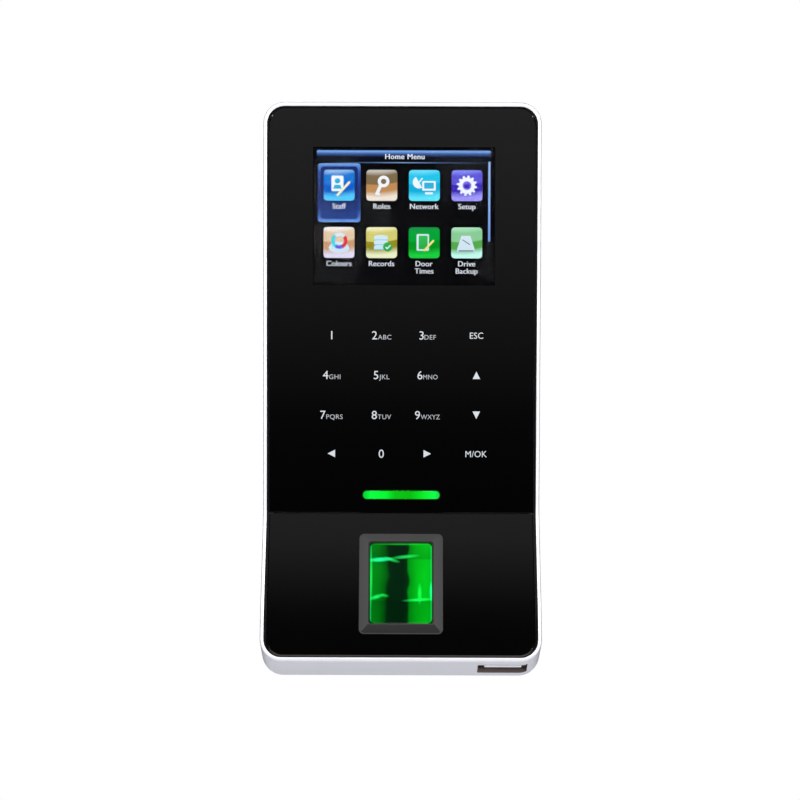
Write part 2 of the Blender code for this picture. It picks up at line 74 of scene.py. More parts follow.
def soft_lamp(name, azimuth, elevation, distance, size, power, tint=(1, 1, 1)):
    """A rectangular lamp on a sphere round the terminal, facing it."""
    data = bpy.data.lights.new(name, "AREA")
    data.shape = "RECTANGLE"
    data.size, data.size_y = size
    data.energy = power
    data.color = tint
    lamp = bpy.data.objects.new(name, data)
    a, e = math.radians(azimuth), math.radians(elevation)
    out = Vector((math.sin(a) * math.cos(e), -math.cos(a) * math.cos(e), math.sin(e)))
    lamp.location = out * distance
    lamp.rotation_euler = (-out).to_track_quat("-Z", "Y").to_euler()
    scene.collection.objects.link(lamp)
    return lamp


soft_lamp("key_left", -27, 16, 1.3, (0.62, 0.7), 13.5)
soft_lamp("key_right", 27, 16, 1.3, (0.62, 0.7), 13.5)
soft_lamp("back_left", -164, 38, 1.3, (0.7, 0.7), 9, (0.97, 0.98, 1.0))
soft_lamp("back_right", 164, 30, 1.3, (0.7, 0.7), 7, (0.97, 0.98, 1.0))
soft_lamp("corner_left", -58, -22, 0.62, (0.10, 0.06), 0.4)
soft_lamp("corner_right", 58, -22, 0.62, (0.10, 0.06), 0.4)

floor_mesh = bpy.data.meshes.new("floor")
floor_bm = bmesh.new()
bmesh.ops.create_circle(floor_bm, cap_ends=True, segments=96, radius=FLOOR_RADIUS)
floor_bm.to_mesh(floor_mesh)
floor_bm.free()
floor = bpy.data.objects.new("floor", floor_mesh)
floor.location.z = -FLOOR_DROP
scene.collection.objects.link(floor)
floor_mat = bpy.data.materials.new("floor_pale")
floor_mat.use_nodes = True
floor_shader = floor_mat.node_tree.nodes["Principled BSDF"]
floor_shader.inputs["Base Color"].default_value = (0.58, 0.58, 0.62, 1)
floor_shader.inputs["Roughness"].default_value = 0.9
floor_mesh.materials.append(floor_mat)


def put(nodes, kind, given=None, **settings):
    """Adds a node with its settings and the values of its inputs."""
    node = nodes.new(kind)
    for label, value in settings.items():
        setattr(node, label, value)
    for label, value in (given or {}).items():
        node.inputs[label].default_value = value
    return node


def link(links, source, leaves, target, enters):
    """Joins one node's output to another one's input."""
    links.new(source.outputs[leaves], target.inputs[enters])


def fill_ramp(node, stops):
    """Gives a colour ramp its (place, linear colour) stops."""
    ramp = node.color_ramp
    for i, (place, colour) in enumerate(stops):
        stop = ramp.elements[i] if i < 2 else ramp.elements.new(place)
        stop.position = place
        stop.color = (*colour, 1)


# The room fades from dark at the horizon to pale above; the lens sees plain white.
SKY_STOPS = [(-1.0, 0.14), (-0.45, 0.11), (-0.20, 0.04), (-0.06, 0.0), (-0.01, 0.025),
             (0.165, 0.40), (0.20, 0.42), (0.295, 0.0), (0.318, 0.04), (0.365, 0.40),
             (0.45, 0.30), (1.0, 0.30)]
world = bpy.data.worlds.new("studio")
scene.world = world
world.use_nodes = True
wn, wl = world.node_tree.nodes, world.node_tree.links
wn.clear()
sky_dir = wn.new("ShaderNodeTexCoord")
sky_axes = wn.new("ShaderNodeSeparateXYZ")
sky_scale = put(wn, "ShaderNodeMapRange", {"From Min": -1.0})
sky_ramp = wn.new("ShaderNodeValToRGB")
fill_ramp(sky_ramp, [((height + 1) / 2, (value,) * 3) for height, value in SKY_STOPS])
room_light = wn.new("ShaderNodeBackground")
white = put(wn, "ShaderNodeBackground", {"Color": (1, 1, 1, 1)})
seen = wn.new("ShaderNodeLightPath")
choose = wn.new("ShaderNodeMixShader")
world_out = wn.new("ShaderNodeOutputWorld")
link(wl, sky_dir, "Generated", sky_axes, 0)
link(wl, sky_axes, "Z", sky_scale, "Value")
link(wl, sky_scale, 0, sky_ramp, "Fac")
link(wl, sky_ramp, "Color", room_light, "Color")
link(wl, seen, "Is Camera Ray", choose, 0)
link(wl, room_light, 0, choose, 1)
link(wl, white, 0, choose, 2)
link(wl, choose, 0, world_out, "Surface")


# ------------------------------------------------------------------ silver frame
# A bent band moulded in one piece and sprayed satin silver: a thin rounded lip round the
# front, a pocket and ledge for the two plates, and an underside that slants to the wall.

HALF_WIDTH = 39.0
TOP_Z = 80.0
CREASE_Z = -35.4
RIM_BOTTOM_Z = -75.5
UPPER_FRONT_Y = -10.5
LOWER_FRONT_Y = -19.4
CORNER_RADIUS = 6.0
RIM = 1.03
POCKET_WALL = 1.3
WAIST = 0.28
BAND_DEPTH = 10.1
BAND_GROWTH = 0.09
CHIN_FALL = 0.545
SHEAR_START_Z = -60.0
SHEAR_END_Z = -69.0
CREASE_SOFTNESS = 1.0
ARC_STEPS = 14
LIP_ROUND = 0.5
FOOT_ROUND = 1.7
CROWN = 0.25
SIDE_SHADE_FADE = (-76.0, -71.0)
BACK_ROUND = 1.2
LEDGE_DEPTH = 2.1
LEDGE_BACK = 3.3
LEDGE_REACH = 2.8
LEAN = math.atan((UPPER_FRONT_Y - LOWER_FRONT_Y) / (CREASE_Z - RIM_BOTTOM_Z))
LEANING = (Matrix.Translation(Vector((0, UPPER_FRONT_Y, CREASE_Z)) * MM)
           @ Matrix.Rotation(-LEAN, 4, "X"))


def front_y(z):
    """Front of the frame: upright above the crease, leaning out below, softly joined."""
    t = CREASE_Z - z
    w = CREASE_SOFTNESS
    if abs(t) < w:
        t = (t + w) ** 2 / (4 * w)
    return UPPER_FRONT_Y - math.tan(LEAN) * max(0.0, t)


def waisted(x, z):
    """The sides draw in very slightly towards the crease."""
    t = max(0.0, 1 - abs(z - CREASE_Z) / (95.0 if z > CREASE_Z else 30.0))
    return x * (1 - WAIST / HALF_WIDTH * t * t * (3 - 2 * t))


def band_point(x, z, depth):
    """A point of the band, in metres, from its place on the front and its depth."""
    x = waisted(x, z)
    part = min(1.0, max(0.0, (CREASE_Z - z) / (CREASE_Z - RIM_BOTTOM_Z)))
    grown = depth * (1 + BAND_GROWTH * part)
    t = min(1.0, max(0.0, (z - SHEAR_START_Z) / (SHEAR_END_Z - SHEAR_START_Z)))
    fall = CHIN_FALL * grown * t * t * (3 - 2 * t)
    return Vector((x, front_y(z) + grown, z - fall)) * MM


def rounded_rows(half, low, high, low_radius, high_radius, side_levels=()):
    """(height, half width) rows of a rounded outline, from the bottom up."""
    rows = []
    steps = range(ARC_STEPS + 1)
    for i in steps if low_radius else (ARC_STEPS,):
        a = math.pi / 2 * (1 - i / ARC_STEPS)
        rows.append((low + low_radius * (1 - math.sin(a)), half - low_radius * (1 - math.cos(a))))
    for z in side_levels:
        rows.append((z, half))
    for i in steps:
        a = math.pi / 2 * i / ARC_STEPS
        rows.append((high - high_radius * (1 - math.sin(a)),
                     half - high_radius * (1 - math.cos(a))))
    return rows


BAND_LEVELS = [-68.6, -67.0, -65.0, -63.0, -61.0, -60.0, -48.0] + [
    CREASE_Z + CREASE_SOFTNESS * k / 3 for k in range(-3, 4)] + [0.0, 40.0]


def band_rows(inset):
    """The outline drawn in by an inset; the lip is rounded further at its foot."""
    radius = CORNER_RADIUS - inset
    foot = inset * FOOT_ROUND if inset <= LIP_ROUND else inset
    crown = inset if inset <= LIP_ROUND else inset + CROWN
    return rounded_rows(HALF_WIDTH - inset, RIM_BOTTOM_Z + foot, TOP_Z - crown, radius, radius,
                        BAND_LEVELS)


SIDE_RINGS = range(4, 14)            # the profile's rings that make the frame's outer side


def skin(bm, a, b):
    """Faces between two closed loops of as many points."""
    for i in range(len(a)):
        j = (i + 1) % len(a)
        bm.faces.new([a[j], a[i], b[i], b[j]])


def swept_band(rings, closed, shade_from=None):
    """Rings of (rows, depth) skinned round the outline; closed joins the last to the first."""
    bm = bmesh.new()
    pocket_shade = bm.verts.layers.float.new("pocket_shade")
    side = bm.verts.layers.float.new("side")
    loops = []
    for k, (rows, depth) in enumerate(rings):
        right = [bm.verts.new(band_point(half, z, depth)) for z, half in rows]
        left = [bm.verts.new(band_point(-half, z, depth)) for z, half in rows]
        for v in right + left:
            # the pocket's rings are marked for a painted shade
            v[pocket_shade] = 1.0 if shade_from is not None and shade_from[0] <= k <= shade_from[1] else 0.0
            # the outer side is marked for a painted shade that fades out downwards into the chin
            rise = (v.co.z / MM - SIDE_SHADE_FADE[0]) / (SIDE_SHADE_FADE[1] - SIDE_SHADE_FADE[0])
            v[side] = min(1.0, max(0.0, rise)) if k in SIDE_RINGS else 0.0
        loops.append((right, left))
    pairs = list(zip(loops, loops[1:]))
    if closed:
        pairs.append((loops[-1], loops[0]))
    for (right_a, left_a), (right_b, left_b) in pairs:
        skin(bm, right_a + left_a[::-1], right_b + left_b[::-1])
    if not closed:
        for (right, left), facing in ((loops[0], 1), (loops[-1], -1)):
            for i in range(len(right) - 1):
                bm.faces.new([left[i], right[i], right[i + 1], left[i + 1]][::facing])
    bmesh.ops.remove_doubles(bm, verts=bm.verts, dist=1e-7)
    bmesh.ops.recalc_face_normals(bm, faces=bm.faces)
    return bm


def block(x, y, z, radius=0.0, along="y", edge=0.0, steps=6, place=None):
    """A box between two corners, in millimetres, its four edges along one axis rounded."""
    bm = bmesh.new()
    low = Vector((x[0], y[0], z[0])) * MM
    high = Vector((x[1], y[1], z[1])) * MM
    size = high - low
    bmesh.ops.create_cube(bm, size=1.0, matrix=Matrix.Translation((low + high) / 2)
                          @ Matrix.Diagonal((*size, 1.0)))
    if radius:
        axis = "xyz".index(along)
        lines = [e for e in bm.edges
                 if abs((e.verts[0].co - e.verts[1].co)[axis]) > 0.9 * size[axis]]
        bmesh.ops.bevel(bm, geom=lines, offset=radius * MM, segments=steps, affect="EDGES",
                        profile=0.5)
    if edge:
        sharp = [e for e in bm.edges if e.calc_face_angle(0) > math.radians(60)]
        bmesh.ops.bevel(bm, geom=sharp, offset=edge * MM, segments=2, affect="EDGES",
                        profile=0.5)
    if place is not None:
        bmesh.ops.transform(bm, matrix=place, verts=bm.verts)
    return bm


def lathe(profile, centre, turn=None, steps=40):
    """A turned piece from (radius, height) points that start and end on its axis."""
    bm = bmesh.new()
    points = [bm.verts.new((r * MM, 0, h * MM)) for r, h in profile]
    lines = [bm.edges.new(pair) for pair in zip(points, points[1:])]
    bmesh.ops.spin(bm, geom=points + lines, cent=(0, 0, 0), axis=(0, 0, 1),
                   angle=2 * math.pi, steps=steps, use_merge=True)
    bmesh.ops.remove_doubles(bm, verts=bm.verts, dist=1e-7)
    bmesh.ops.recalc_face_normals(bm, faces=bm.faces)
    matrix = Matrix.Translation(Vector(centre) * MM) @ (turn or Matrix())
    bmesh.ops.transform(bm, matrix=matrix, verts=bm.verts)
    return bm


def to_object(name, bm, smooth=32):
    """A mesh object at the origin, smooth except across edges sharper than an angle."""
    mesh = bpy.data.meshes.new(name)
    bm.to_mesh(mesh)
    bm.free()
    mesh.shade_smooth()
    mesh.set_sharp_from_angle(angle=math.radians(smooth))
    obj = bpy.data.objects.new(name, mesh)
    scene.collection.objects.link(obj)
    return obj


def carve(obj, cutters, operation="DIFFERENCE", smooth=32):
    """Cuts (or joins) closed meshes into a piece and keeps the plain result."""
    helpers = []
    for i, bm in enumerate(cutters):
        helper = to_object("%s_cut_%d" % (obj.name, i), bm)
        helpers.append(helper)
        mod = obj.modifiers.new("cut", "BOOLEAN")
        mod.operation = operation
        mod.solver = "EXACT"
        mod.object = helper
    result = bpy.data.meshes.new_from_object(obj.evaluated_get(
        bpy.context.evaluated_depsgraph_get()))
    obj.modifiers.clear()
    obj.data = result
    result.shade_smooth()
    result.set_sharp_from_angle(angle=math.radians(smooth))
    for helper in helpers:
        bpy.data.objects.remove(helper, do_unlink=True)
    return obj


def fit(obj, body, slot, finish, *nodes):
    """Gives a piece its finish and its body, and hides the solids it stands for; the slot is not
    used.
    """
    obj.data.materials.clear()
    obj.data.materials.append(finish)
    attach(obj, body)
    if nodes:
        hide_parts(*nodes)
    return obj


def new_group(name, inputs, outputs):
    """A shader group with named number inputs and its outputs, ready to be filled."""
    tree = bpy.data.node_groups.new(name, "ShaderNodeTree")
    for label, value in inputs:
        socket = tree.interface.new_socket(label, in_out="INPUT", socket_type="NodeSocketFloat")
        socket.default_value = value
    for label in outputs:
        tree.interface.new_socket(label, in_out="OUTPUT", socket_type="NodeSocketFloat")
    return tree, tree.nodes.new("NodeGroupInput"), tree.nodes.new("NodeGroupOutput")


def math_node(nodes, operation, value=None, clamp=False):
    node = put(nodes, "ShaderNodeMath", operation=operation, use_clamp=clamp)
    if value is not None:
        node.inputs[1].default_value = value
    return node


def make_grain():
    """Moulded or sprayed grain: a fine height and a slow roughness change."""
    tree, given, out = new_group("surface_grain", [("Scale", 4000), ("Slow Scale", 60)],
                                 ["Height", "Cloud"])
    n, l = tree.nodes, tree.links
    where = n.new("ShaderNodeTexCoord")
    fine = put(n, "ShaderNodeTexNoise", {"Detail": 3})
    slow = put(n, "ShaderNodeTexNoise", {"Detail": 4, "Roughness": 0.6})
    link(l, where, "Object", fine, "Vector")
    link(l, where, "Object", slow, "Vector")
    link(l, given, "Scale", fine, "Scale")
    link(l, given, "Slow Scale", slow, "Scale")
    link(l, fine, "Fac", out, "Height")
    link(l, slow, "Fac", out, "Cloud")
    return tree


def make_wear():
    """Rubbed edges and settled dust, as two masks."""
    tree, given, out = new_group("edge_wear_and_dust", [("Edge", 0.5), ("Dust", 0.2)],
                                 ["Wear", "Dust"])
    n, l = tree.nodes, tree.links
    where = n.new("ShaderNodeTexCoord")
    shape = n.new("ShaderNodeNewGeometry")
    patches = put(n, "ShaderNodeTexNoise", {"Scale": 220, "Detail": 6})
    edge = put(n, "ShaderNodeMapRange", {"From Min": 0.52, "From Max": 0.62})
    both = math_node(n, "MULTIPLY")
    worn = math_node(n, "MULTIPLY", clamp=True)
    facing = n.new("ShaderNodeSeparateXYZ")
    level = put(n, "ShaderNodeMapRange", {"From Min": 0.3})
    settled = math_node(n, "MULTIPLY")
    dusty = math_node(n, "MULTIPLY", clamp=True)
    link(l, where, "Object", patches, "Vector")
    link(l, shape, "Pointiness", edge, "Value")
    link(l, edge, 0, both, 0)
    link(l, patches, "Fac", both, 1)
    link(l, both, 0, worn, 0)
    link(l, given, "Edge", worn, 1)
    link(l, shape, "Normal", facing, 0)
    link(l, facing, "Z", level, "Value")
    link(l, level, 0, settled, 0)
    link(l, patches, "Fac", settled, 1)
    link(l, settled, 0, dusty, 0)
    link(l, given, "Dust", dusty, 1)
    link(l, worn, 0, out, "Wear")
    link(l, dusty, 0, out, "Dust")
    return tree


GRAIN = make_grain()
WEAR = make_wear()
DUST_COLOUR = (0.45, 0.43, 0.40, 1)


def surface(name, colour, roughness, metallic=0.0, grain=4000, depth=0.02, cloud=0.08,
            edge=None, edge_colour=None, dust=0.15, second=None):
    """A finish: base colour clouded into a second one, grain bump, worn edges and dust."""
    mat = bpy.data.materials.new(name)
    mat.use_nodes = True
    n, l = mat.node_tree.nodes, mat.node_tree.links
    shader = n["Principled BSDF"]
    shader.inputs["Metallic"].default_value = metallic
    texture = put(n, "ShaderNodeGroup", {"Scale": grain}, node_tree=GRAIN)
    rough = put(n, "ShaderNodeMapRange",
                {"To Min": max(0.0, roughness - cloud), "To Max": min(1.0, roughness + cloud)})
    link(l, texture, "Cloud", rough, "Value")
    link(l, rough, 0, shader, "Roughness")
    bump = put(n, "ShaderNodeBump", {"Strength": 0.6, "Distance": depth * MM})
    link(l, texture, "Height", bump, "Height")
    link(l, bump, 0, shader, "Normal")
    tint = put(n, "ShaderNodeMix",
               {6: (*colour, 1), 7: (*(second or [c * 0.86 for c in colour]), 1)},
               data_type="RGBA")
    link(l, texture, "Cloud", tint, 0)
    marks = put(n, "ShaderNodeGroup", {"Edge": 0.0 if edge is None else edge, "Dust": dust},
                node_tree=WEAR)
    rubbed = put(n, "ShaderNodeMix", {7: (*(edge_colour or [min(1, c * 1.6) for c in colour]), 1)},
                 data_type="RGBA")
    link(l, marks, "Wear", rubbed, 0)
    link(l, tint, 2, rubbed, 6)
    dusted = put(n, "ShaderNodeMix", {7: DUST_COLOUR}, data_type="RGBA")
    link(l, marks, "Dust", dusted, 0)
    link(l, rubbed, 2, dusted, 6)
    link(l, dusted, 2, shader, "Base Color")
    return mat


silver = surface("satin_silver", (0.60, 0.60, 0.63), 0.42, 0.35, grain=9000, depth=0.004,
                 cloud=0.03, dust=0.0, second=(0.58, 0.58, 0.61))


def marked(mat, mark, value, socket="Base Color"):
    """Turns a finish to another colour, or roughness, where a piece carries a mark."""
    n, l = mat.node_tree.nodes, mat.node_tree.links
    where = put(n, "ShaderNodeAttribute", attribute_name=mark)
    colour = socket == "Base Color"
    low, high, result = (6, 7, 2) if colour else (2, 3, 0)
    mix = put(n, "ShaderNodeMix", {high: value}, data_type="RGBA" if colour else "FLOAT")
    target = n["Principled BSDF"].inputs[socket]
    link(l, where, "Fac", mix, 0)
    l.new(target.links[0].from_socket, mix.inputs[low])
    l.new(mix.outputs[result], target)


marked(silver, "side", (0.36, 0.36, 0.375, 1))               # painted shade: the sides are coloured a darker silver
marked(silver, "pocket_shade", (0.012, 0.011, 0.011, 1))             # painted shade: the pocket is coloured near black
marked(silver, "port_wall_shade", (0.030, 0.018, 0.014, 1))        # painted shade: the opening's walls are coloured dark brown

lip = [(LIP_ROUND * (1 - math.sin(a)), LIP_ROUND * (1 - math.cos(a)))
       for a in [math.pi / 2 * k / 6 for k in range(7)]]
back_round = [(BACK_ROUND * (1 - math.cos(a)), BAND_DEPTH - BACK_ROUND * (1 - math.sin(a)))
              for a in [math.pi / 2 * k / 6 for k in range(7)]]
inner = [(POCKET_WALL + 0.3, BAND_DEPTH), (POCKET_WALL + 0.3, LEDGE_BACK),
         (LEDGE_REACH, LEDGE_BACK), (LEDGE_REACH, LEDGE_DEPTH), (RIM + 0.06, LEDGE_DEPTH),
         (RIM, 0.30), (RIM, 0.22), (RIM - 0.05, 0.05), (RIM - 0.15, 0.0)]
profile = lip + back_round + inner
# the pocket's rings, which take a painted shade
shaded_rings = (len(lip + back_round), len(profile) - 4)
front_frame = to_object("front_frame_fine", swept_band(
    [(band_rows(inset), depth) for inset, depth in profile], True, shaded_rings))
PORT_X = (21.8, 34.8)
PORT_Y = (3.0, 7.9)
port_cut_x = (PORT_X[0] - 0.45, PORT_X[1] + 0.35)
port_cut_y = (PORT_Y[0] - 0.2, PORT_Y[1] + 0.7)
carve(front_frame, [block(port_cut_x, port_cut_y, (-50, -30), 0.4, "z", place=LEANING)])
port_wall_shade = front_frame.data.attributes.new("port_wall_shade", "FLOAT", "FACE")
to_leaning = LEANING.inverted()
down = LEANING.to_3x3() @ Vector((0, 0, 1))
for face in front_frame.data.polygons:        # the walls of the opening take the painted shade
    spot = to_leaning @ face.center / MM
    across_x = port_cut_x[0] - 0.01 < spot.x < port_cut_x[1] + 0.01
    across_y = port_cut_y[0] - 0.01 < spot.y < port_cut_y[1] + 0.01
    port_wall_shade.data[face.index].value = float(
        across_x and across_y and abs(face.normal.dot(down)) < 0.2)
fit(front_frame, "terminal", "silver_paint", silver, "front_frame")


# ------------------------------------------------------------------ glossy front plates
# Two black plates, hard coated and printed dark from behind, lie in the frame's pocket with
# a fine gap.  The upper one has the display window and the light slot, the lower one the
# opening of the reader; both have a small polished bevel.

PLATE_RECESS = 0.3
PLATE_THICK = 1.5
PLATE_GAP = 0.4
PLATE_BEVEL = 0.3
plate_half = HALF_WIDTH - POCKET_WALL - PLATE_GAP
plate_top = TOP_Z - POCKET_WALL - PLATE_GAP
plate_radius = CORNER_RADIUS - POCKET_WALL - PLATE_GAP
window_low, window_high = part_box("display_window")
light_low, light_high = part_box("status_light_bar")
FACE_Y = UPPER_FRONT_Y + PLATE_RECESS


def gloss_black(name):
    """Black hard coat: near-black body, a clear polished coat, faint wipe marks."""
    mat = surface(name, (0.0006, 0.0006, 0.00065), 0.05, grain=6000, depth=0.0005, cloud=0.02,
                  dust=0.002)
    shader = mat.node_tree.nodes["Principled BSDF"]
    shader.inputs["IOR"].default_value = 1.5
    return mat


plate_black = gloss_black("plate_black")
marked(plate_black, "foot_sheen", (0.060, 0.052, 0.045, 1))      # painted reflection: its bevel along the foot is coloured grey-brown
marked(plate_black, "foot_sheen", 0.45, "Roughness")


def upper_rows(inset):
    return rounded_rows(plate_half - inset, CREASE_Z + 0.15 + inset * 0.5, plate_top - inset,
                        0.0, plate_radius - inset * 0.5, (-10.0, 20.0, 50.0))


upper_plate = to_object("upper_plate", swept_band([
    (upper_rows(PLATE_BEVEL), PLATE_RECESS),
    (upper_rows(PLATE_BEVEL * 0.4), PLATE_RECESS + PLATE_BEVEL * 0.25),
    (upper_rows(0.0), PLATE_RECESS + PLATE_BEVEL),
    (upper_rows(0.0), PLATE_RECESS + PLATE_THICK)], False), 12)
window_mm = [v / MM for v in (*window_low, *window_high)]
light_mm = [v / MM for v in (*light_low, *light_high)]
CUT = 0.15
carve(upper_plate, [
    block((window_mm[0] - CUT, window_mm[3] + CUT), (-14, -4),
          (window_mm[2] - CUT, window_mm[5] + CUT), 0.25),
    block((light_mm[0] - CUT, light_mm[3] + CUT), (-14, -4),
          (light_mm[2] - CUT, light_mm[5] + CUT), 1.3, steps=10)], smooth=12)
fit(upper_plate, "terminal", "black_gloss", plate_black, "upper_front_panel")

lower_bottom = (RIM_BOTTOM_Z + RIM + 0.14 - CREASE_Z) / math.cos(LEAN)
BEZEL = (23.3, 27.9)
READER = -19.7


def lower_plate_mesh():
    """The lower plate as stacked outlines in its own leaning plane, with a painted reflection and
    a rougher finish along its foot.
    """
    bm = bmesh.new()
    foot_sheen = bm.verts.layers.float.new("foot_sheen")
    loops = []
    for side, foot, depth, mark in ((0.30, 0.45, PLATE_RECESS, 0.0),
                                    (0.27, 0.41, PLATE_RECESS + 0.03, 1.0),
                                    (0.10, 0.15, PLATE_RECESS + 0.30, 1.0),
                                    (0.0, 0.0, PLATE_RECESS + 0.55, 0.6),
                                    (0.0, 0.0, PLATE_RECESS + PLATE_THICK, 0.0)):
        rows = rounded_rows(plate_half - side, lower_bottom + foot, -0.02 - 0.1 * side,
                            plate_radius, 0.001, [-28.0, -21.0, -14.0, -7.0])
        loop = []
        for sign in (1, -1):
            line = [bm.verts.new(LEANING @ (Vector((sign * waisted(h, CREASE_Z + z), depth, z))
                                            * MM)) for z, h in rows]
            for v, (z, h) in zip(line, rows):
                # how strongly the foot's bevel takes the painted reflection
                low = (lower_bottom + foot + plate_radius * 0.55 - z) / (plate_radius * 0.55)
                v[foot_sheen] = mark * min(1.0, max(0.0, low))
            loop.append(line)
        loops.append(loop)
    for (right_a, left_a), (right_b, left_b) in zip(loops, loops[1:]):
        skin(bm, right_a + left_a[::-1], right_b + left_b[::-1])
    for right, left in (loops[0], loops[-1]):
        for i in range(len(right) - 1):
            bm.faces.new([left[i], right[i], right[i + 1], left[i + 1]])
    bmesh.ops.remove_doubles(bm, verts=bm.verts, dist=1e-7)
    bmesh.ops.recalc_face_normals(bm, faces=bm.faces)
    return bm


lower_plate = to_object("lower_plate", lower_plate_mesh(), 12)
opening = (BEZEL[0] / 2 - 0.3, BEZEL[1] / 2 - 0.3)
carve(lower_plate, [block((-opening[0], opening[0]), (-3, 5),
                          (READER - opening[1], READER + opening[1]), 1.0, place=LEANING)],
      smooth=12)
fit(lower_plate, "terminal", "black_gloss", plate_black, "lower_front_panel")


# ------------------------------------------------------------------ display
# A 2.4 inch colour panel behind a clear window set flush in the upper plate.  Its lit menu
# is a stack of thin flat shapes: a title bar, eight pictures, word marks and a scroll bar.

def glow(name, stops, low, high, strength=1.0, axis="Z", bend=0.0, middle=0.0):
    """A lit colour that runs through stops (place 0-1, colour) between two heights in mm.

    The bands curve upwards away from a middle x, by bend millimetres per square millimetre.
    """
    mat = bpy.data.materials.new(name)
    mat.use_nodes = True
    n, l = mat.node_tree.nodes, mat.node_tree.links
    shader = n["Principled BSDF"]
    shader.inputs["Base Color"].default_value = (0.002, 0.002, 0.002, 1)
    shader.inputs["Roughness"].default_value = 0.4
    shader.inputs["Specular IOR Level"].default_value = 0.0
    where = n.new("ShaderNodeTexCoord")
    axes = n.new("ShaderNodeSeparateXYZ")
    level = put(n, "ShaderNodeMapRange", {"From Min": low * MM, "From Max": high * MM})
    ramp = n.new("ShaderNodeValToRGB")
    fill_ramp(ramp, [(place, srgb(*colour)) for place, colour in stops])
    link(l, where, "Object", axes, 0)
    height = axes.outputs[axis]
    if bend:
        aside = math_node(n, "SUBTRACT", middle * MM)
        square = math_node(n, "MULTIPLY")
        curved = put(n, "ShaderNodeMath", {1: -bend / MM}, operation="MULTIPLY_ADD")
        link(l, axes, "X", aside, 0)
        link(l, aside, 0, square, 0)
        link(l, aside, 0, square, 1)
        link(l, square, 0, curved, 0)
        l.new(height, curved.inputs[2])
        height = curved.outputs[0]
    l.new(height, level.inputs["Value"])
    link(l, level, 0, ramp, "Fac")
    link(l, ramp, "Color", shader, "Emission Color")
    shader.inputs["Emission Strength"].default_value = strength
    return mat


def srgb(r, g, b):
    """A screen colour, 0-255, as a linear one."""
    return tuple((c / 255 / 12.92) if c < 11 else ((c / 255 + 0.055) / 1.055) ** 2.4
                 for c in (r, g, b))


PICTURE_Y = -8.46                    # front of the display panel
LAYER = 0.045                        # one printed or lit layer above the last
SCREEN_X = (-24.15, 24.9)
ICON_X = [-17.75 + 11.97 * k for k in range(4)]
ICON_Z = [56.75, 40.65]
ICON_HALF = 4.35

window_glass = to_object("window_glass", block(
    (window_mm[0] + CUT, window_mm[3] - CUT), (FACE_Y, FACE_Y + PLATE_THICK - 0.02),
    (window_mm[2] + CUT, window_mm[5] - CUT), 0.2, edge=0.06))
clear = bpy.data.materials.new("window_clear")
clear.use_nodes = True
clear_shader = clear.node_tree.nodes["Principled BSDF"]
clear_shader.inputs["Transmission Weight"].default_value = 1.0
clear_shader.inputs["Roughness"].default_value = 0.0
clear_shader.inputs["IOR"].default_value = 1.06
clear_shader.inputs["Base Color"].default_value = (0.96, 0.97, 1.0, 1)
haze_n, haze_l = clear.node_tree.nodes, clear.node_tree.links
haze = put(haze_n, "ShaderNodeGroup", {"Scale": 3000}, node_tree=GRAIN)
haze_rough = put(haze_n, "ShaderNodeMapRange", {"To Max": 0.012})
link(haze_l, haze, "Cloud", haze_rough, "Value")
link(haze_l, haze_rough, 0, clear_shader, "Roughness")
fit(window_glass, "terminal", "clear_window", clear, "display_window")


def disc(x, z, radius, layer, wide=1.0, steps=28, hole=0.0, arc=(0.0, 360.0), teeth=0):
    """A flat disc, ring, sector or cog, one layer thick, on the display."""
    bm = bmesh.new()
    whole = arc[1] - arc[0] >= 360
    count = steps if whole else steps + 1
    outer, inner_loop = [], []
    for i in range(count):
        a = math.radians(arc[0] + (arc[1] - arc[0]) * i / steps)
        r = radius * (1.0 if not teeth or (i * 2 * teeth // steps) % 2 else 0.8)
        outer.append(bm.verts.new((x * MM + r * wide * MM * math.cos(a), 0,
                                   z * MM + r * MM * math.sin(a))))
        if hole:
            inner_loop.append(bm.verts.new((x * MM + hole * wide * MM * math.cos(a), 0,
                                            z * MM + hole * MM * math.sin(a))))
    if hole:
        for i in range(count if whole else count - 1):
            j = (i + 1) % count
            bm.faces.new([outer[i], outer[j], inner_loop[j], inner_loop[i]])
    elif whole:
        bm.faces.new(outer)
    else:
        bm.faces.new(outer + [bm.verts.new((x * MM, 0, z * MM))])
    return thicken(bm, layer)


def shape(points, layer):
    """A flat polygon from (x, z) corners in millimetres, one layer thick."""
    bm = bmesh.new()
    bm.faces.new([bm.verts.new((x * MM, 0, z * MM)) for x, z in points])
    return thicken(bm, layer)


def thicken(bm, layer):
    """Turns a flat drawing at y = 0 into a thin closed plate on the given layer."""
    bmesh.ops.recalc_face_normals(bm, faces=bm.faces)
    result = bmesh.ops.extrude_face_region(bm, geom=list(bm.faces))
    moved = [v for v in result["geom"] if isinstance(v, bmesh.types.BMVert)]
    bmesh.ops.translate(bm, verts=moved, vec=(0, -0.6 * LAYER * MM, 0))
    bmesh.ops.translate(bm, verts=bm.verts, vec=(0, (PICTURE_Y - layer * LAYER) * MM, 0))
    bmesh.ops.recalc_face_normals(bm, faces=bm.faces)
    return bm


def tile(x, z, half_x, half_z, radius, layer):
    """A rounded rectangle on the display."""
    y = PICTURE_Y - layer * LAYER
    return block((x - half_x, x + half_x), (y - 0.6 * LAYER, y), (z - half_z, z + half_z),
                 radius, steps=5)


def bar(x0, z0, x1, z1, half, layer):
    """A straight thick stroke between two points of the display."""
    along = Vector((x1 - x0, z1 - z0)).normalized() * half
    side = Vector((-along.y, along.x))
    return shape([(x0 - side.x, z0 - side.y), (x1 - side.x, z1 - side.y),
                  (x1 + side.x, z1 + side.y), (x0 + side.x, z0 + side.y)], layer)


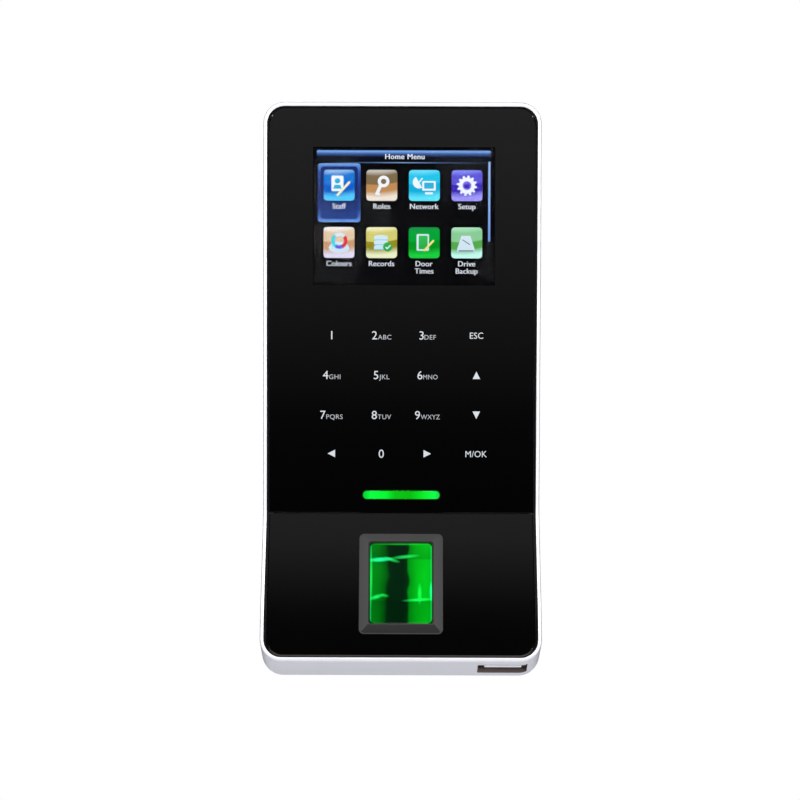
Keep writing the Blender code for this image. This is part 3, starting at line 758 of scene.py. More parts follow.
def together(name, parts):
    """Several closed plates as the shells of one piece."""
    whole = bmesh.new()
    for bm in parts:
        mesh = bpy.data.meshes.new("part")
        bm.to_mesh(mesh)
        bm.free()
        whole.from_mesh(mesh)
        bpy.data.meshes.remove(mesh)
    return to_object(name, whole)


def lit(name, finish, *parts):
    return fit(together(name, parts), "terminal", "display_glass", finish)


middle_x = sum(SCREEN_X) / 2
screen_half = (SCREEN_X[1] - SCREEN_X[0]) / 2
black_glow = glow("picture_black", [(0.0, (3, 3, 4)), (1.0, (5, 5, 7))], 30, 66)
lit("picture_ground", black_glow,
    tile((window_mm[0] + window_mm[3]) / 2, (window_mm[2] + window_mm[5]) / 2,
         (window_mm[3] - window_mm[0]) / 2 + 0.4, (window_mm[5] - window_mm[2]) / 2 + 0.4, 0.1, 0))
title_glow = glow("title_blue", [(0.0, (6, 7, 10)), (0.42, (9, 14, 28)),
                                 (0.6, (40, 64, 118)), (0.76, (74, 112, 182)),
                                 (0.88, (122, 172, 232)), (1.0, (104, 152, 214))],
                  63.4, 66.6)
lit("title_bar", title_glow, tile(middle_x, 65.0, screen_half - 0.1, 1.6, 0.3, 1))
line_glow = glow("title_line_blue", [(0.0, (10, 16, 30)), (0.3, (70, 100, 150)),
                                     (0.5, (120, 155, 200)), (0.7, (70, 100, 150)),
                                     (1.0, (10, 16, 30))], *SCREEN_X, axis="X")
lit("title_line", line_glow, tile(middle_x + 2, 63.15, screen_half - 3, 0.14, 0.05, 1))
scroll_glow = glow("scroll_blue", [(0.0, (120, 160, 225)), (1.0, (150, 185, 240))], 40, 63)
lit("scroll_bar", scroll_glow, tile(24.45, 52.3, 0.3, 11.3, 0.28, 1))

select_glow = glow("select_blue", [(0.0, (105, 155, 225)), (0.08, (70, 115, 195)),
                                   (0.2, (30, 62, 140)), (0.55, (20, 45, 115)),
                                   (0.86, (45, 85, 165)), (0.97, (95, 145, 215)),
                                   (1.0, (130, 175, 235))], 46.4, 62.9)
lit("selected_tile", select_glow, tile(ICON_X[0], 54.65, 6.0, 8.25, 0.9, 1))
select_dark = glow("select_dark", [(0.0, (34, 66, 140)), (0.4, (16, 36, 98)),
                                   (1.0, (20, 44, 112))], 47.4, 62.0)
lit("selected_tile_middle", select_dark, tile(ICON_X[0], 54.65, 5.2, 7.4, 0.8, 1.7))

# top, upper middle, lower middle and bottom colour of each picture's tile, in reading order
TILES = [((150, 195, 235), (18, 120, 215), (5, 95, 205), (85, 205, 250)),
         ((205, 200, 188), (128, 108, 74), (196, 142, 84), (243, 232, 214)),
         ((110, 225, 252), (34, 200, 236), (14, 178, 222), (96, 232, 252)),
         ((134, 142, 240), (92, 84, 215), (58, 36, 186), (160, 152, 246)),
         ((252, 248, 240), (226, 200, 166), (204, 156, 112), (226, 222, 240)),
         ((244, 240, 190), (214, 208, 112), (150, 140, 30), (238, 242, 196)),
         ((20, 150, 66), (0, 166, 52), (0, 150, 24), (24, 206, 60)),
         ((176, 232, 190), (140, 206, 150), (86, 170, 76), (196, 250, 236))]
for k, (top, upper, lower, foot) in enumerate(TILES):
    x, z = ICON_X[k % 4], ICON_Z[k // 4]
    finish = glow("tile_glow_%d" % (k + 1), [
        (0.0, foot), (0.10, foot), (0.30, lower),
        (0.50, lower), (0.535, upper), (0.80, upper),
        (0.96, top), (1.0, top)],
        z - ICON_HALF, z + ICON_HALF, bend=0.022, middle=x - 1.5)
    lit("picture_tile_%d" % (k + 1), finish, tile(x, z, ICON_HALF, ICON_HALF, 1.0, 2.4))

pale = glow("mark_white", [(0.0, (205, 228, 240)), (1.0, (252, 253, 255))], 36, 61)
ink = glow("mark_dark", [(0.0, (10, 40, 60)), (1.0, (15, 55, 80))], 36, 61)
yellow = glow("mark_yellow", [(0.0, (245, 225, 110)), (1.0, (255, 250, 215))], 36, 61)
green = glow("mark_green", [(0.0, (20, 150, 50)), (1.0, (60, 200, 90))], 36, 44)
cyan = glow("mark_cyan", [(0.0, (70, 220, 235)), (1.0, (40, 170, 220))], 36, 61)
red = glow("mark_red", [(0.0, (225, 40, 50)), (1.0, (235, 90, 100))], 36, 61)
violet = glow("mark_violet", [(0.0, (95, 90, 215)), (1.0, (150, 130, 235))], 36, 61)

x, z = ICON_X[0], ICON_Z[0]
lit("badge_card", pale, tile(x - 0.5, z + 0.5, 1.7, 2.2, 0.4, 3))
lit("badge_photo", cyan, disc(x - 0.5, z + 1.2, 0.75, 4),
    shape([(x - 1.7, z - 1.0), (x + 0.7, z - 1.0), (x + 0.3, z + 0.1), (x - 1.3, z + 0.1)], 4))
lit("badge_pen", yellow, bar(x - 0.6, z - 2.9, x + 3.0, z + 1.0, 0.32, 4.6))
x = ICON_X[1]
lit("key_mark", pale, disc(x + 0.5, z + 1.1, 1.65, 3, hole=0.75),
    bar(x - 0.2, z + 0.3, x - 1.5, z - 2.7, 0.48, 3.6),
    bar(x - 1.3, z - 2.2, x - 0.5, z - 2.6, 0.26, 3.9))
x = ICON_X[2]
lit("dish_mark", pale, disc(x - 1.5, z + 0.9, 1.75, 3, arc=(120, 300)),
    bar(x - 1.5, z + 0.9, x - 0.5, z + 2.1, 0.17, 3.3),
    tile(x + 1.3, z - 0.1, 1.9, 1.35, 0.3, 3.5), bar(x + 0.2, z - 2.2, x + 2.4, z - 2.2, 0.3, 3.5))
lit("dish_screen", cyan, tile(x + 1.3, z - 0.05, 1.35, 0.85, 0.15, 4.2))
x = ICON_X[3]
lit("cog_mark", pale, disc(x, z, 2.85, 3, hole=1.0, steps=96, teeth=12))
lit("cog_centre", violet, disc(x, z, 1.25, 4, hole=0.85))
x, z = ICON_X[0], ICON_Z[1]
lit("ring_base", pale, disc(x, z - 1.5, 1.45, 3, wide=2.0), disc(x, z - 1.0, 1.3, 3.4, wide=2.0))
lit("ring_cyan", cyan, disc(x + 0.1, z + 0.5, 2.3, 4, hole=1.3, arc=(130, 235), steps=12))
lit("ring_pale", pale, disc(x + 0.1, z + 0.5, 2.3, 4, hole=1.3, arc=(40, 130), steps=12))
lit("ring_violet", violet, disc(x + 0.1, z + 0.5, 2.3, 4, hole=1.3, arc=(235, 300), steps=10))
lit("ring_red", red, disc(x + 0.1, z + 0.5, 2.3, 4, hole=1.3, arc=(-60, 40), steps=12))
x = ICON_X[1]
for k in range(3):
    level = z - 1.5 + 1.35 * k
    lit("store_drum_%d" % (k + 1), pale, tile(x - 0.2, level, 1.95, 0.48, 0.2, 3 + 0.4 * k),
        disc(x - 0.2, level + 0.45, 0.5, 3.2 + 0.4 * k, wide=3.9))
    lit("store_shade_%d" % (k + 1), cyan, tile(x - 0.2, level - 0.42, 1.9, 0.09, 0.04, 4.4))
lit("tick_badge", green, disc(x + 1.7, z - 1.2, 1.3, 4.8))
lit("tick", pale, bar(x + 1.1, z - 1.2, x + 1.6, z - 1.8, 0.2, 5.3),
    bar(x + 1.5, z - 1.75, x + 2.5, z - 0.7, 0.2, 5.3))
x = ICON_X[2]
lit("door_mark", pale, tile(x - 0.4, z + 0.1, 1.75, 2.35, 0.35, 3))
lit("door_leaf", green, tile(x - 0.3, z + 0.1, 1.25, 1.9, 0.2, 3.8))
lit("door_pencil", yellow, bar(x - 0.1, z - 2.3, x + 2.7, z + 0.7, 0.28, 4.6))
x = ICON_X[3]
lit("drive_mark", pale, shape([(x - 2.7, z - 1.7), (x + 2.2, z - 1.7), (x + 1.0, z + 2.0),
                               (x - 1.5, z + 2.0)], 3),
    tile(x - 0.25, z - 2.0, 2.45, 0.45, 0.15, 3))
lit("drive_slot", ink, bar(x - 2.3, z - 2.25, x + 1.9, z - 2.25, 0.13, 3.8),
    bar(x - 1.2, z + 0.9, x + 0.9, z - 0.5, 0.1, 3.8))


def lettering(text, height, x, z, front, depth, spread=1.0, wide=1.0):
    """Plain upright lettering as a thin plate, its left end and foot at a point."""
    curve = bpy.data.curves.new("lettering", "FONT")
    curve.body = text
    curve.size = height / 0.70 * MM
    curve.extrude = depth / 2 * MM
    curve.space_character = spread
    curve.resolution_u = 3
    holder = bpy.data.objects.new("lettering", curve)
    scene.collection.objects.link(holder)
    mesh = bpy.data.meshes.new_from_object(holder.evaluated_get(
        bpy.context.evaluated_depsgraph_get()))
    bpy.data.objects.remove(holder, do_unlink=True)
    bm = bmesh.new()
    bm.from_mesh(mesh)
    bpy.data.meshes.remove(mesh)
    bmesh.ops.remove_doubles(bm, verts=bm.verts, dist=1e-8)
    left = min(v.co.x for v in bm.verts)
    width = (max(v.co.x for v in bm.verts) - left) / MM * wide
    bmesh.ops.translate(bm, verts=bm.verts, vec=(-left, 0, 0))
    bmesh.ops.transform(bm, verts=bm.verts, matrix=Matrix.Translation(
        Vector((x, front - depth / 2, z)) * MM) @ Matrix.Rotation(math.pi / 2, 4, "X")
        @ Matrix.Diagonal((wide, 1, 1, 1)))
    return bm, width


def bold(text, height, x, z, front, depth, spread=1.0):
    """Centred lettering made heavier by a second copy set slightly aside."""
    return [centred(text, height, x + shift, z, front - 0.004 * k, depth, spread)
            for k, shift in enumerate((-0.05, 0.05))]


def centred(text, height, x, z, front, depth, spread=1.0, wide=1.0):
    """The same lettering with its middle at a point."""
    measure, width = lettering(text, height, 0, 0, front, depth, spread, wide)
    measure.free()
    return lettering(text, height, x - width / 2, z, front, depth, spread, wide)[0]


word_white = glow("word_white", [(0.0, (215, 220, 228)), (1.0, (235, 240, 246))], 30, 66)
WORDS = ["Staff", "Roles", "Network", "Setup", "Colours", "Records", "Door", "Drive"]
SECOND_LINE = ["", "", "", "", "", "", "Times", "Backup"]
WORD_LAYER = PICTURE_Y - 2.6 * LAYER
WORD_HEIGHT = 1.5
WORD_DEPTH = 0.03
lit("title_words", word_white,
    *bold("Home Menu", WORD_HEIGHT, middle_x + 0.3, 64.15, WORD_LAYER, WORD_DEPTH, 1.05))
for k, text in enumerate(WORDS):
    x, z = ICON_X[k % 4], ICON_Z[k // 4] - ICON_HALF - 2.25
    marks = bold(text, WORD_HEIGHT, x, z, WORD_LAYER, WORD_DEPTH, 1.02)
    if SECOND_LINE[k]:
        marks += bold(SECOND_LINE[k], WORD_HEIGHT, x, z - 2.05, WORD_LAYER, WORD_DEPTH, 1.02)
    lit("menu_words_%d" % (k + 1), word_white, *marks)


# ------------------------------------------------------------------ touch keypad legends
# Digits, letters and arrows cut through the dark print of the upper plate, lit from behind.

DIGIT_HEIGHT = 2.35
LETTER_HEIGHT = 1.3
KEY_X = [-19.65, -5.65, 7.25, 20.95]
KEY_Z = [14.55, 3.4, -7.8, -18.65]
LEGEND_DEPTH = 0.03
KEYS = [("1", ""), ("2", "ABC"), ("3", "DEF"), ("", "ESC"),
        ("4", "GHI"), ("5", "JKL"), ("6", "MNO"), ("up", ""),
        ("7", "PQRS"), ("8", "TUV"), ("9", "WXYZ"), ("down", ""),
        ("left", ""), ("0", ""), ("right", ""), ("", "M/OK")]


def arrow(kind, x, z, half=1.05):
    """A small solid triangle that points up, down, left or right."""
    turn = {"right": 0, "up": 90, "left": 180, "down": 270}[kind]
    points = []
    for px, pz in ((half, 0), (-half, half), (-half, -half)):
        a = math.radians(turn)
        points.append((x + px * math.cos(a) - pz * math.sin(a),
                       z + px * math.sin(a) + pz * math.cos(a)))
    bm = shape(points, 0)
    shift = FACE_Y - LEGEND_DEPTH - (PICTURE_Y - 0.6 * LAYER)
    bmesh.ops.translate(bm, verts=bm.verts, vec=(0, shift * MM, 0))
    return bm


legend_white = glow("legend_white", [(0.0, (228, 234, 240)), (1.0, (238, 242, 246))],
                    -20, 20, 0.9)
letter_white = glow("letter_white", [(0.0, (190, 196, 202)), (1.0, (200, 206, 212))],
                    -20, 20, 0.9)
for k, (big, small) in enumerate(KEYS):
    x, z = KEY_X[k % 4], KEY_Z[k // 4]
    foot = z - DIGIT_HEIGHT / 2
    name = "legend_%02d" % (k + 1)
    if big in ("up", "down", "left", "right"):
        parts = [arrow(big, x, z)]
    elif big and small:
        measure, big_wide = lettering(big, DIGIT_HEIGHT, 0, 0, FACE_Y, LEGEND_DEPTH)
        measure.free()
        wide = 0.94 if small in ("WXYZ", "MNO") else 1.04
        measure, small_wide = lettering(small, LETTER_HEIGHT, 0, 0, FACE_Y, LEGEND_DEPTH, 1.06,
                                        wide)
        measure.free()
        start = x - (big_wide + 0.2 + small_wide) / 2
        parts = [lettering(big, DIGIT_HEIGHT, start, foot, FACE_Y, LEGEND_DEPTH)[0]]
        letters = lettering(small, LETTER_HEIGHT, start + big_wide + 0.2, foot, FACE_Y,
                            LEGEND_DEPTH, 1.06, wide)[0]
        fit(together(name + "_letters", [letters]), "terminal", "green_light", letter_white)
    elif big:
        parts = [centred(big, DIGIT_HEIGHT, x, foot, FACE_Y, LEGEND_DEPTH)]
    else:
        parts = [centred(small, 1.75, x, z - 0.9, FACE_Y, LEGEND_DEPTH, 1.02, 0.96)]
    fit(together(name, parts), "terminal", "green_light", legend_white)


# ------------------------------------------------------------------ status light bar
# A milky light pipe in a slot of the upper plate, lit green by a lamp behind each end, so
# that it is brightest there and deeper green in the middle.

light_bar = to_object("light_bar_fine", block(
    (light_mm[0] + 0.05, light_mm[3] - 0.05), (FACE_Y - 0.02, FACE_Y + 2.1),
    (light_mm[2] + 0.06, light_mm[5] - 0.22), 1.04, steps=12, edge=0.12), 40)
bar_glow = glow("bar_green", [(0.0, (0, 200, 40)), (0.10, (4, 255, 66)),
                              (0.30, (0, 245, 48)), (0.42, (0, 196, 16)),
                              (0.62, (0, 190, 10)), (0.80, (2, 240, 40)),
                              (0.93, (10, 255, 76)), (1.0, (20, 210, 60))],
                light_mm[0], light_mm[3], axis="X")
fit(light_bar, "terminal", "green_light", bar_glow, "status_light_bar")


# ------------------------------------------------------------------ fingerprint reader
# A matt moulded bezel, higher at its inner edge, holds a polished block of optical glass.
# Green lamps under the glass light its sides and leave the middle dark.

GLASS = (17.1, 22.05)
GLASS_MIDDLE = READER + 0.27
RISE = GLASS_MIDDLE - READER
SHADED_RING = 3                      # the bezel's outer slope, and its sides along the foot, take a painted shade
SHADED_SIDES = range(17, 24)


def picture_frame(rings, corner, place):
    """A closed frame through rings of (half x, half z, depth, rise), with rounded corners."""
    bm = bmesh.new()
    loops = []
    for half_x, half_z, depth, rise in rings:
        radius = max(0.15, corner - (rings[0][0] - half_x) * 0.25)
        loop = []
        for cx, cz, first in ((1, 1, 0), (-1, 1, 90), (-1, -1, 180), (1, -1, 270)):
            for k in range(7):
                a = math.radians(first + 15 * k)
                loop.append(bm.verts.new(place @ (Vector((
                    cx * (half_x - radius) + radius * math.cos(a), depth,
                    READER + rise + cz * (half_z - radius) + radius * math.sin(a))) * MM)))
        loops.append(loop)
    # the foot's outer slope is marked for a painted shade
    foot_shade = bm.faces.layers.float.new("foot_shade")
    for k, (a, b) in enumerate(zip(loops, loops[1:] + loops[:1])):
        for i in range(len(a)):
            j = (i + 1) % len(a)
            face = bm.faces.new([a[i], a[j], b[j], b[i]])
            face[foot_shade] = 1.0 if k == SHADED_RING and i in SHADED_SIDES else 0.0
    bmesh.ops.recalc_face_normals(bm, faces=bm.faces)
    return bm


bx, bz = BEZEL[0] / 2, BEZEL[1] / 2
gx, gz = GLASS[0] / 2 + 0.15, GLASS[1] / 2 + 0.15
bezel = to_object("reader_bezel", picture_frame([
    (bx, bz, 0.28, 0), (bx, bz, 0.05, 0), (bx - 0.06, bz - 0.06, -0.02, 0),
    (bx - 0.25, bz - 0.25, -0.10, 0), (gx + 0.62, gz + 0.50, -0.78, RISE),
    (gx + 0.42, gz + 0.34, -0.76, RISE), (gx + 0.05, gz + 0.05, 0.45, RISE), (gx, gz, 1.2, RISE),
    (gx, gz, 2.2, RISE), (bx - 0.6, bz - 0.6, 2.2, 0), (bx - 0.6, bz - 0.6, 0.28, 0)],
    1.4, LEANING), 25)
bezel_grey = surface("bezel_grey", (0.024, 0.0225, 0.023), 0.7, grain=4200, depth=0.05,
                     cloud=0.08, dust=0.02, edge=0.25, edge_colour=(0.12, 0.12, 0.12),
                     second=(0.036, 0.034, 0.034))
bezel_grey.node_tree.nodes["Principled BSDF"].inputs["Specular IOR Level"].default_value = 0.25
marked(bezel_grey, "foot_shade", (0.006, 0.006, 0.0065, 1))      # painted shade: the foot's downward slope is coloured near black
fit(bezel, "terminal", "bezel_plastic", bezel_grey, "sensor_bezel")

reader_glass = to_object("reader_glass", block(
    (-GLASS[0] / 2, GLASS[0] / 2), (0.5, 3.0),
    (GLASS_MIDDLE - GLASS[1] / 2, GLASS_MIDDLE + GLASS[1] / 2),
    1.1, edge=0.12, place=LEANING), 12)


def reader_light():
    """Green light in the glass: bright side columns, a dark middle and a few glints."""
    mat = bpy.data.materials.new("reader_green")
    mat.use_nodes = True
    n, l = mat.node_tree.nodes, mat.node_tree.links
    shader = n["Principled BSDF"]
    shader.inputs["Base Color"].default_value = (0.0, 0.006, 0.001, 1)
    shader.inputs["Roughness"].default_value = 0.04
    shader.inputs["Specular IOR Level"].default_value = 0.12
    shader.inputs["Emission Strength"].default_value = 1.0
    where = n.new("ShaderNodeTexCoord")
    frame_map = n.new("ShaderNodeMapping")
    centre = LEANING @ (Vector((0, 0, GLASS_MIDDLE)) * MM)
    frame_map.vector_type = "TEXTURE"
    frame_map.inputs["Location"].default_value = centre
    frame_map.inputs["Rotation"].default_value = (-LEAN, 0, 0)
    frame_map.inputs["Scale"].default_value = (MM, MM, MM)
    link(l, where, "Object", frame_map, "Vector")
    stir = put(n, "ShaderNodeTexNoise", {"Scale": 0.16, "Detail": 1})
    link(l, frame_map, 0, stir, "Vector")
    axes = n.new("ShaderNodeSeparateXYZ")
    link(l, frame_map, 0, axes, 0)
    sway = put(n, "ShaderNodeMath", {1: 2.4}, operation="MULTIPLY_ADD")
    link(l, stir, "Fac", sway, 0)
    link(l, axes, "X", sway, 2)
    across = put(n, "ShaderNodeMapRange",
                 {"From Min": -GLASS[0] / 2 + 1.2, "From Max": GLASS[0] / 2 + 1.2})
    link(l, sway, 0, across, "Value")
    columns = n.new("ShaderNodeValToRGB")
    stops = [(0.0, (0, 138, 22)), (0.14, (0, 124, 14)), (0.24, (0, 92, 8)),
             (0.30, (2, 30, 8)), (0.36, (2, 22, 9)), (0.54, (2, 20, 8)), (0.60, (0, 40, 8)),
             (0.635, (0, 146, 16)), (0.75, (0, 188, 20)), (0.90, (0, 206, 26)),
             (1.0, (0, 190, 30))]
    fill_ramp(columns, [(place, srgb(*colour)) for place, colour in stops])
    link(l, across, 0, columns, "Fac")
    fade = n.new("ShaderNodeValToRGB")
    fade_range = put(n, "ShaderNodeMapRange",
                     {"From Min": -GLASS[1] / 2, "From Max": GLASS[1] / 2})
    levels = [(0.0, 0.72), (0.27, 0.62), (0.285, 0.95), (0.6, 1.0), (0.79, 0.9), (0.81, 0.62),
              (1.0, 0.85)]
    fill_ramp(fade, [(place, (value,) * 3) for place, value in levels])
    link(l, axes, "Z", fade_range, "Value")
    link(l, fade_range, 0, fade, "Fac")
    shaded = put(n, "ShaderNodeVectorMath", operation="MULTIPLY")
    link(l, columns, "Color", shaded, 0)
    link(l, fade, "Color", shaded, 1)
    aside = math_node(n, "ABSOLUTE")
    rim = put(n, "ShaderNodeMapRange",
              {"From Min": GLASS[0] / 2 - 0.42, "From Max": GLASS[0] / 2 - 0.05})
    rim_colour = put(n, "ShaderNodeVectorMath", {0: (0.01, 0.42, 0.10)}, operation="SCALE")
    rimmed = n.new("ShaderNodeVectorMath")
    link(l, axes, "X", aside, 0)
    link(l, aside, 0, rim, "Value")
    link(l, rim, 0, rim_colour, "Scale")
    link(l, shaded, 0, rimmed, 0)
    link(l, rim_colour, 0, rimmed, 1)
    total = rimmed.outputs[0]
    # each glint: centre x, centre z, half length, half height, tilt, strength
    for cx, cz, long, thin, tilt, power in ((-5.9, 6.5, 3.9, 0.75, 0.06, 1.6),
                                            (-2.6, 6.5, 2.6, 0.62, -0.30, 0.9),
                                            (1.2, 7.3, 4.4, 0.62, 0.10, 1.0),
                                            (-6.8, -3.9, 2.4, 0.70, 0.30, 1.1),
                                            (-4.6, -3.5, 1.4, 0.60, -0.2, 0.7),
                                            (5.0, -4.7, 5.0, 0.55, 0.06, 1.0),
                                            (5.2, -3.0, 0.70, 3.3, 0.0, 0.9),
                                            (-8.3, 1.5, 0.5, 9.0, 0.0, 0.7),
                                            (8.35, -2.4, 0.45, 3.0, 0.0, 1.5),
                                            (0.0, 10.9, 9.0, 0.45, 0.0, 0.6)):
        part = put(n, "ShaderNodeMapping",
                   {"Location": (cx, 0, cz), "Rotation": (0, -tilt, 0), "Scale": (long, 40, thin)},
                   vector_type="TEXTURE")
        ball = put(n, "ShaderNodeTexGradient", gradient_type="SPHERICAL")
        gain = put(n, "ShaderNodeVectorMath",
                   {0: (0.012 * power, 0.85 * power, 0.12 * power ** 3)}, operation="SCALE")
        add = n.new("ShaderNodeVectorMath")
        link(l, frame_map, 0, part, "Vector")
        link(l, part, 0, ball, "Vector")
        link(l, ball, "Fac", gain, "Scale")
        l.new(total, add.inputs[0])
        link(l, gain, 0, add, 1)
        total = add.outputs[0]
    l.new(total, shader.inputs["Emission Color"])
    return mat


fit(reader_glass, "terminal", "prism_glass", reader_light(), "sensor_prism")


# ------------------------------------------------------------------ socket in the underside
# A flat memory-stick socket: a folded, plated steel shell with a white contact tongue and
# four gold-plated springs.  It is soldered on its own small board behind the chin.

def row_tree():
    """A row of equal small blocks from a start point, one step apart."""
    tree = bpy.data.node_groups.new("row_of_blocks", "GeometryNodeTree")
    tree.interface.new_socket("Geometry", in_out="INPUT", socket_type="NodeSocketGeometry")
    for label, kind in (("Count", "NodeSocketInt"), ("Start", "NodeSocketVector"),
                        ("Step", "NodeSocketVector"), ("Size", "NodeSocketVector"),
                        ("Finish", "NodeSocketMaterial")):
        tree.interface.new_socket(label, in_out="INPUT", socket_type=kind)
    tree.interface.new_socket("Geometry", in_out="OUTPUT", socket_type="NodeSocketGeometry")
    n, l = tree.nodes, tree.links
    given, out = n.new("NodeGroupInput"), n.new("NodeGroupOutput")
    line = put(n, "GeometryNodeMeshLine", mode="OFFSET")
    cube = n.new("GeometryNodeMeshCube")
    spread = n.new("GeometryNodeInstanceOnPoints")
    solid = n.new("GeometryNodeRealizeInstances")
    paint = n.new("GeometryNodeSetMaterial")
    link(l, given, "Count", line, "Count")
    link(l, given, "Start", line, "Start Location")
    link(l, given, "Step", line, "Offset")
    link(l, given, "Size", cube, "Size")
    link(l, line, 0, spread, "Points")
    link(l, cube, "Mesh", spread, "Instance")
    link(l, spread, 0, solid, 0)
    link(l, solid, 0, paint, "Geometry")
    link(l, given, "Finish", paint, "Material")
    link(l, paint, 0, out, 0)
    return tree


ROW = row_tree()


def grown(name, tree, values, points=((0, 0, 0),), smooth=32, place=None):
    """A plain mesh object grown by a tree over a few given points (in millimetres)."""
    seed = bpy.data.meshes.new(name)
    seed.from_pydata([Vector(p) * MM for p in points], [], [])
    obj = bpy.data.objects.new(name, seed)
    scene.collection.objects.link(obj)
    mod = obj.modifiers.new("grow", "NODES")
    mod.node_group = tree
    for item in tree.interface.items_tree:
        if item.item_type == "SOCKET" and item.in_out == "INPUT" and item.name in values:
            mod[item.identifier] = values[item.name]
    result = bpy.data.meshes.new_from_object(obj.evaluated_get(
        bpy.context.evaluated_depsgraph_get()))
    obj.modifiers.clear()
    obj.data = result
    bm = bmesh.new()
    bm.from_mesh(result)
    bmesh.ops.remove_doubles(bm, verts=bm.verts, dist=1e-8)
    bmesh.ops.recalc_face_normals(bm, faces=bm.faces)
    if place is not None:
        bmesh.ops.transform(bm, matrix=place, verts=bm.verts)
    bm.to_mesh(result)
    bm.free()
    result.shade_smooth()
    result.set_sharp_from_angle(angle=math.radians(smooth))
    return obj


def row(name, finish, count, start, step, size, place=None):
    """A row of blocks, measured in millimetres, as one piece."""
    return grown(name, ROW, {"Count": count, "Start": [v * MM for v in start],
                             "Step": [v * MM for v in step], "Size": [v * MM for v in size],
                             "Finish": finish}, place=place)


plated_steel = surface("plated_steel", (0.42, 0.40, 0.38), 0.32, 0.9, grain=2600, depth=0.006,
                       cloud=0.08, dust=0.0, edge=0.3, edge_colour=(0.7, 0.68, 0.64),
                       second=(0.30, 0.27, 0.25))
gold_plate = surface("gold_plate", (0.62, 0.42, 0.16), 0.28, 1.0, grain=3000, depth=0.003,
                     cloud=0.08, dust=0.0, second=(0.48, 0.31, 0.11))
tongue_white = surface("tongue_white", (0.72, 0.72, 0.76), 0.5, grain=3600, depth=0.01,
                       cloud=0.06, dust=0.0, second=(0.62, 0.62, 0.66))
shell = to_object("port_shell", block(PORT_X, PORT_Y, (-41.75, -31.6), 0.45, "z", 0.06,
                                      place=LEANING))
port_room = block((PORT_X[0] + 0.3, PORT_X[1] - 0.3), (PORT_Y[0] + 0.3, PORT_Y[1] - 0.3),
                  (-45.0, -32.4), 0.3, "z", place=LEANING)
spring_gaps = [block((x - 0.9, x + 0.9), (PORT_Y[0] - 0.3, PORT_Y[0] + 0.6), (-38.6, -34.6),
                     0.3, "y", place=LEANING) for x in (25.3, 31.4)]
carve(shell, [port_room] + spring_gaps)
fit(shell, "terminal", "socket_metal", plated_steel, "usb_socket")
port_springs = row("port_springs", plated_steel, 2, (25.3, PORT_Y[0] + 0.26, -36.9),
                   (6.1, 0, 0), (1.1, 0.22, 3.2), LEANING)
fit(port_springs, "terminal", "socket_metal", plated_steel)
tongue = to_object("port_tongue", block((23.2, 33.5), (4.4, 5.6), (-42.25, -32.6), 0.3, "z",
                                        0.1, place=LEANING))
fit(tongue, "terminal", "white_plastic", tongue_white, "usb_tongue")
contacts = row("port_contacts", gold_plate, 4, (25.1, 5.66, -37.6), (2.15, 0, 0),
               (1.0, 0.12, 5.0), LEANING)
fit(contacts, "terminal", "brass", gold_plate)


# ------------------------------------------------------------------ circuit boards
# Glass fibre boards with green lacquer over copper tracks, gold pads and white marks; the
# packages on them are black moulded resin with tinned legs, made in rows.

def make_tracks():
    """Tracks, pads and vias of a board as masks, laid out on a grid."""
    tree, given, out = new_group("board_tracks", [("Pitch", 1.1), ("Seed", 0.0)],
                                 ["Track", "Pad", "Hole"])
    n, l = tree.nodes, tree.links
    where = n.new("ShaderNodeTexCoord")
    grid = put(n, "ShaderNodeVectorMath", operation="SCALE")
    per = math_node(n, "DIVIDE")
    per.inputs[0].default_value = 1 / MM
    link(l, given, "Pitch", per, 1)
    link(l, where, "Object", grid, 0)
    link(l, per, 0, grid, "Scale")
    cell = put(n, "ShaderNodeVectorMath", operation="FLOOR")
    link(l, grid, 0, cell, 0)
    chance = put(n, "ShaderNodeTexWhiteNoise", noise_dimensions="4D")
    link(l, cell, 0, chance, "Vector")
    link(l, given, "Seed", chance, "W")
    fields = put(n, "ShaderNodeTexNoise", {"Scale": 130, "Detail": 0})
    link(l, where, "Object", fields, "Vector")
    axes = n.new("ShaderNodeSeparateXYZ")
    link(l, grid, 0, axes, 0)
    turn = math_node(n, "GREATER_THAN", 0.5)
    link(l, fields, "Fac", turn, 0)
    lines = []
    for axis in ("X", "Z"):
        wide = math_node(n, "MULTIPLY", 2.0)
        part = math_node(n, "FRACT")
        off = math_node(n, "SUBTRACT", 0.5)
        size = math_node(n, "ABSOLUTE")
        near = math_node(n, "LESS_THAN", 0.17)
        link(l, axes, axis, wide, 0)
        link(l, wide, 0, part, 0)
        link(l, part, 0, off, 0)
        link(l, off, 0, size, 0)
        link(l, size, 0, near, 0)
        lines.append(near)
    track = n.new("ShaderNodeMix")
    link(l, turn, 0, track, 0)
    l.new(lines[0].outputs[0], track.inputs[2])
    l.new(lines[1].outputs[0], track.inputs[3])
    inside = put(n, "ShaderNodeVectorMath", operation="FRACTION")
    link(l, grid, 0, inside, 0)
    local = n.new("ShaderNodeSeparateXYZ")
    link(l, inside, 0, local, 0)
    flat = n.new("ShaderNodeCombineXYZ")
    link(l, local, "X", flat, "X")
    link(l, local, "Z", flat, "Z")
    reach = put(n, "ShaderNodeVectorMath", {1: (0.5, 0, 0.5)}, operation="DISTANCE")
    link(l, flat, 0, reach, 0)
    for label, radius, share in (("Pad", 0.34, 0.93), ("Hole", 0.14, 0.93)):
        close = math_node(n, "LESS_THAN", radius)
        picked = math_node(n, "GREATER_THAN", share)
        both = math_node(n, "MULTIPLY")
        link(l, reach, "Value", close, 0)
        link(l, chance, "Value", picked, 0)
        link(l, close, 0, both, 0)
        link(l, picked, 0, both, 1)
        link(l, both, 0, out, label)
    link(l, track, 0, out, "Track")
    return tree


TRACKS = make_tracks()


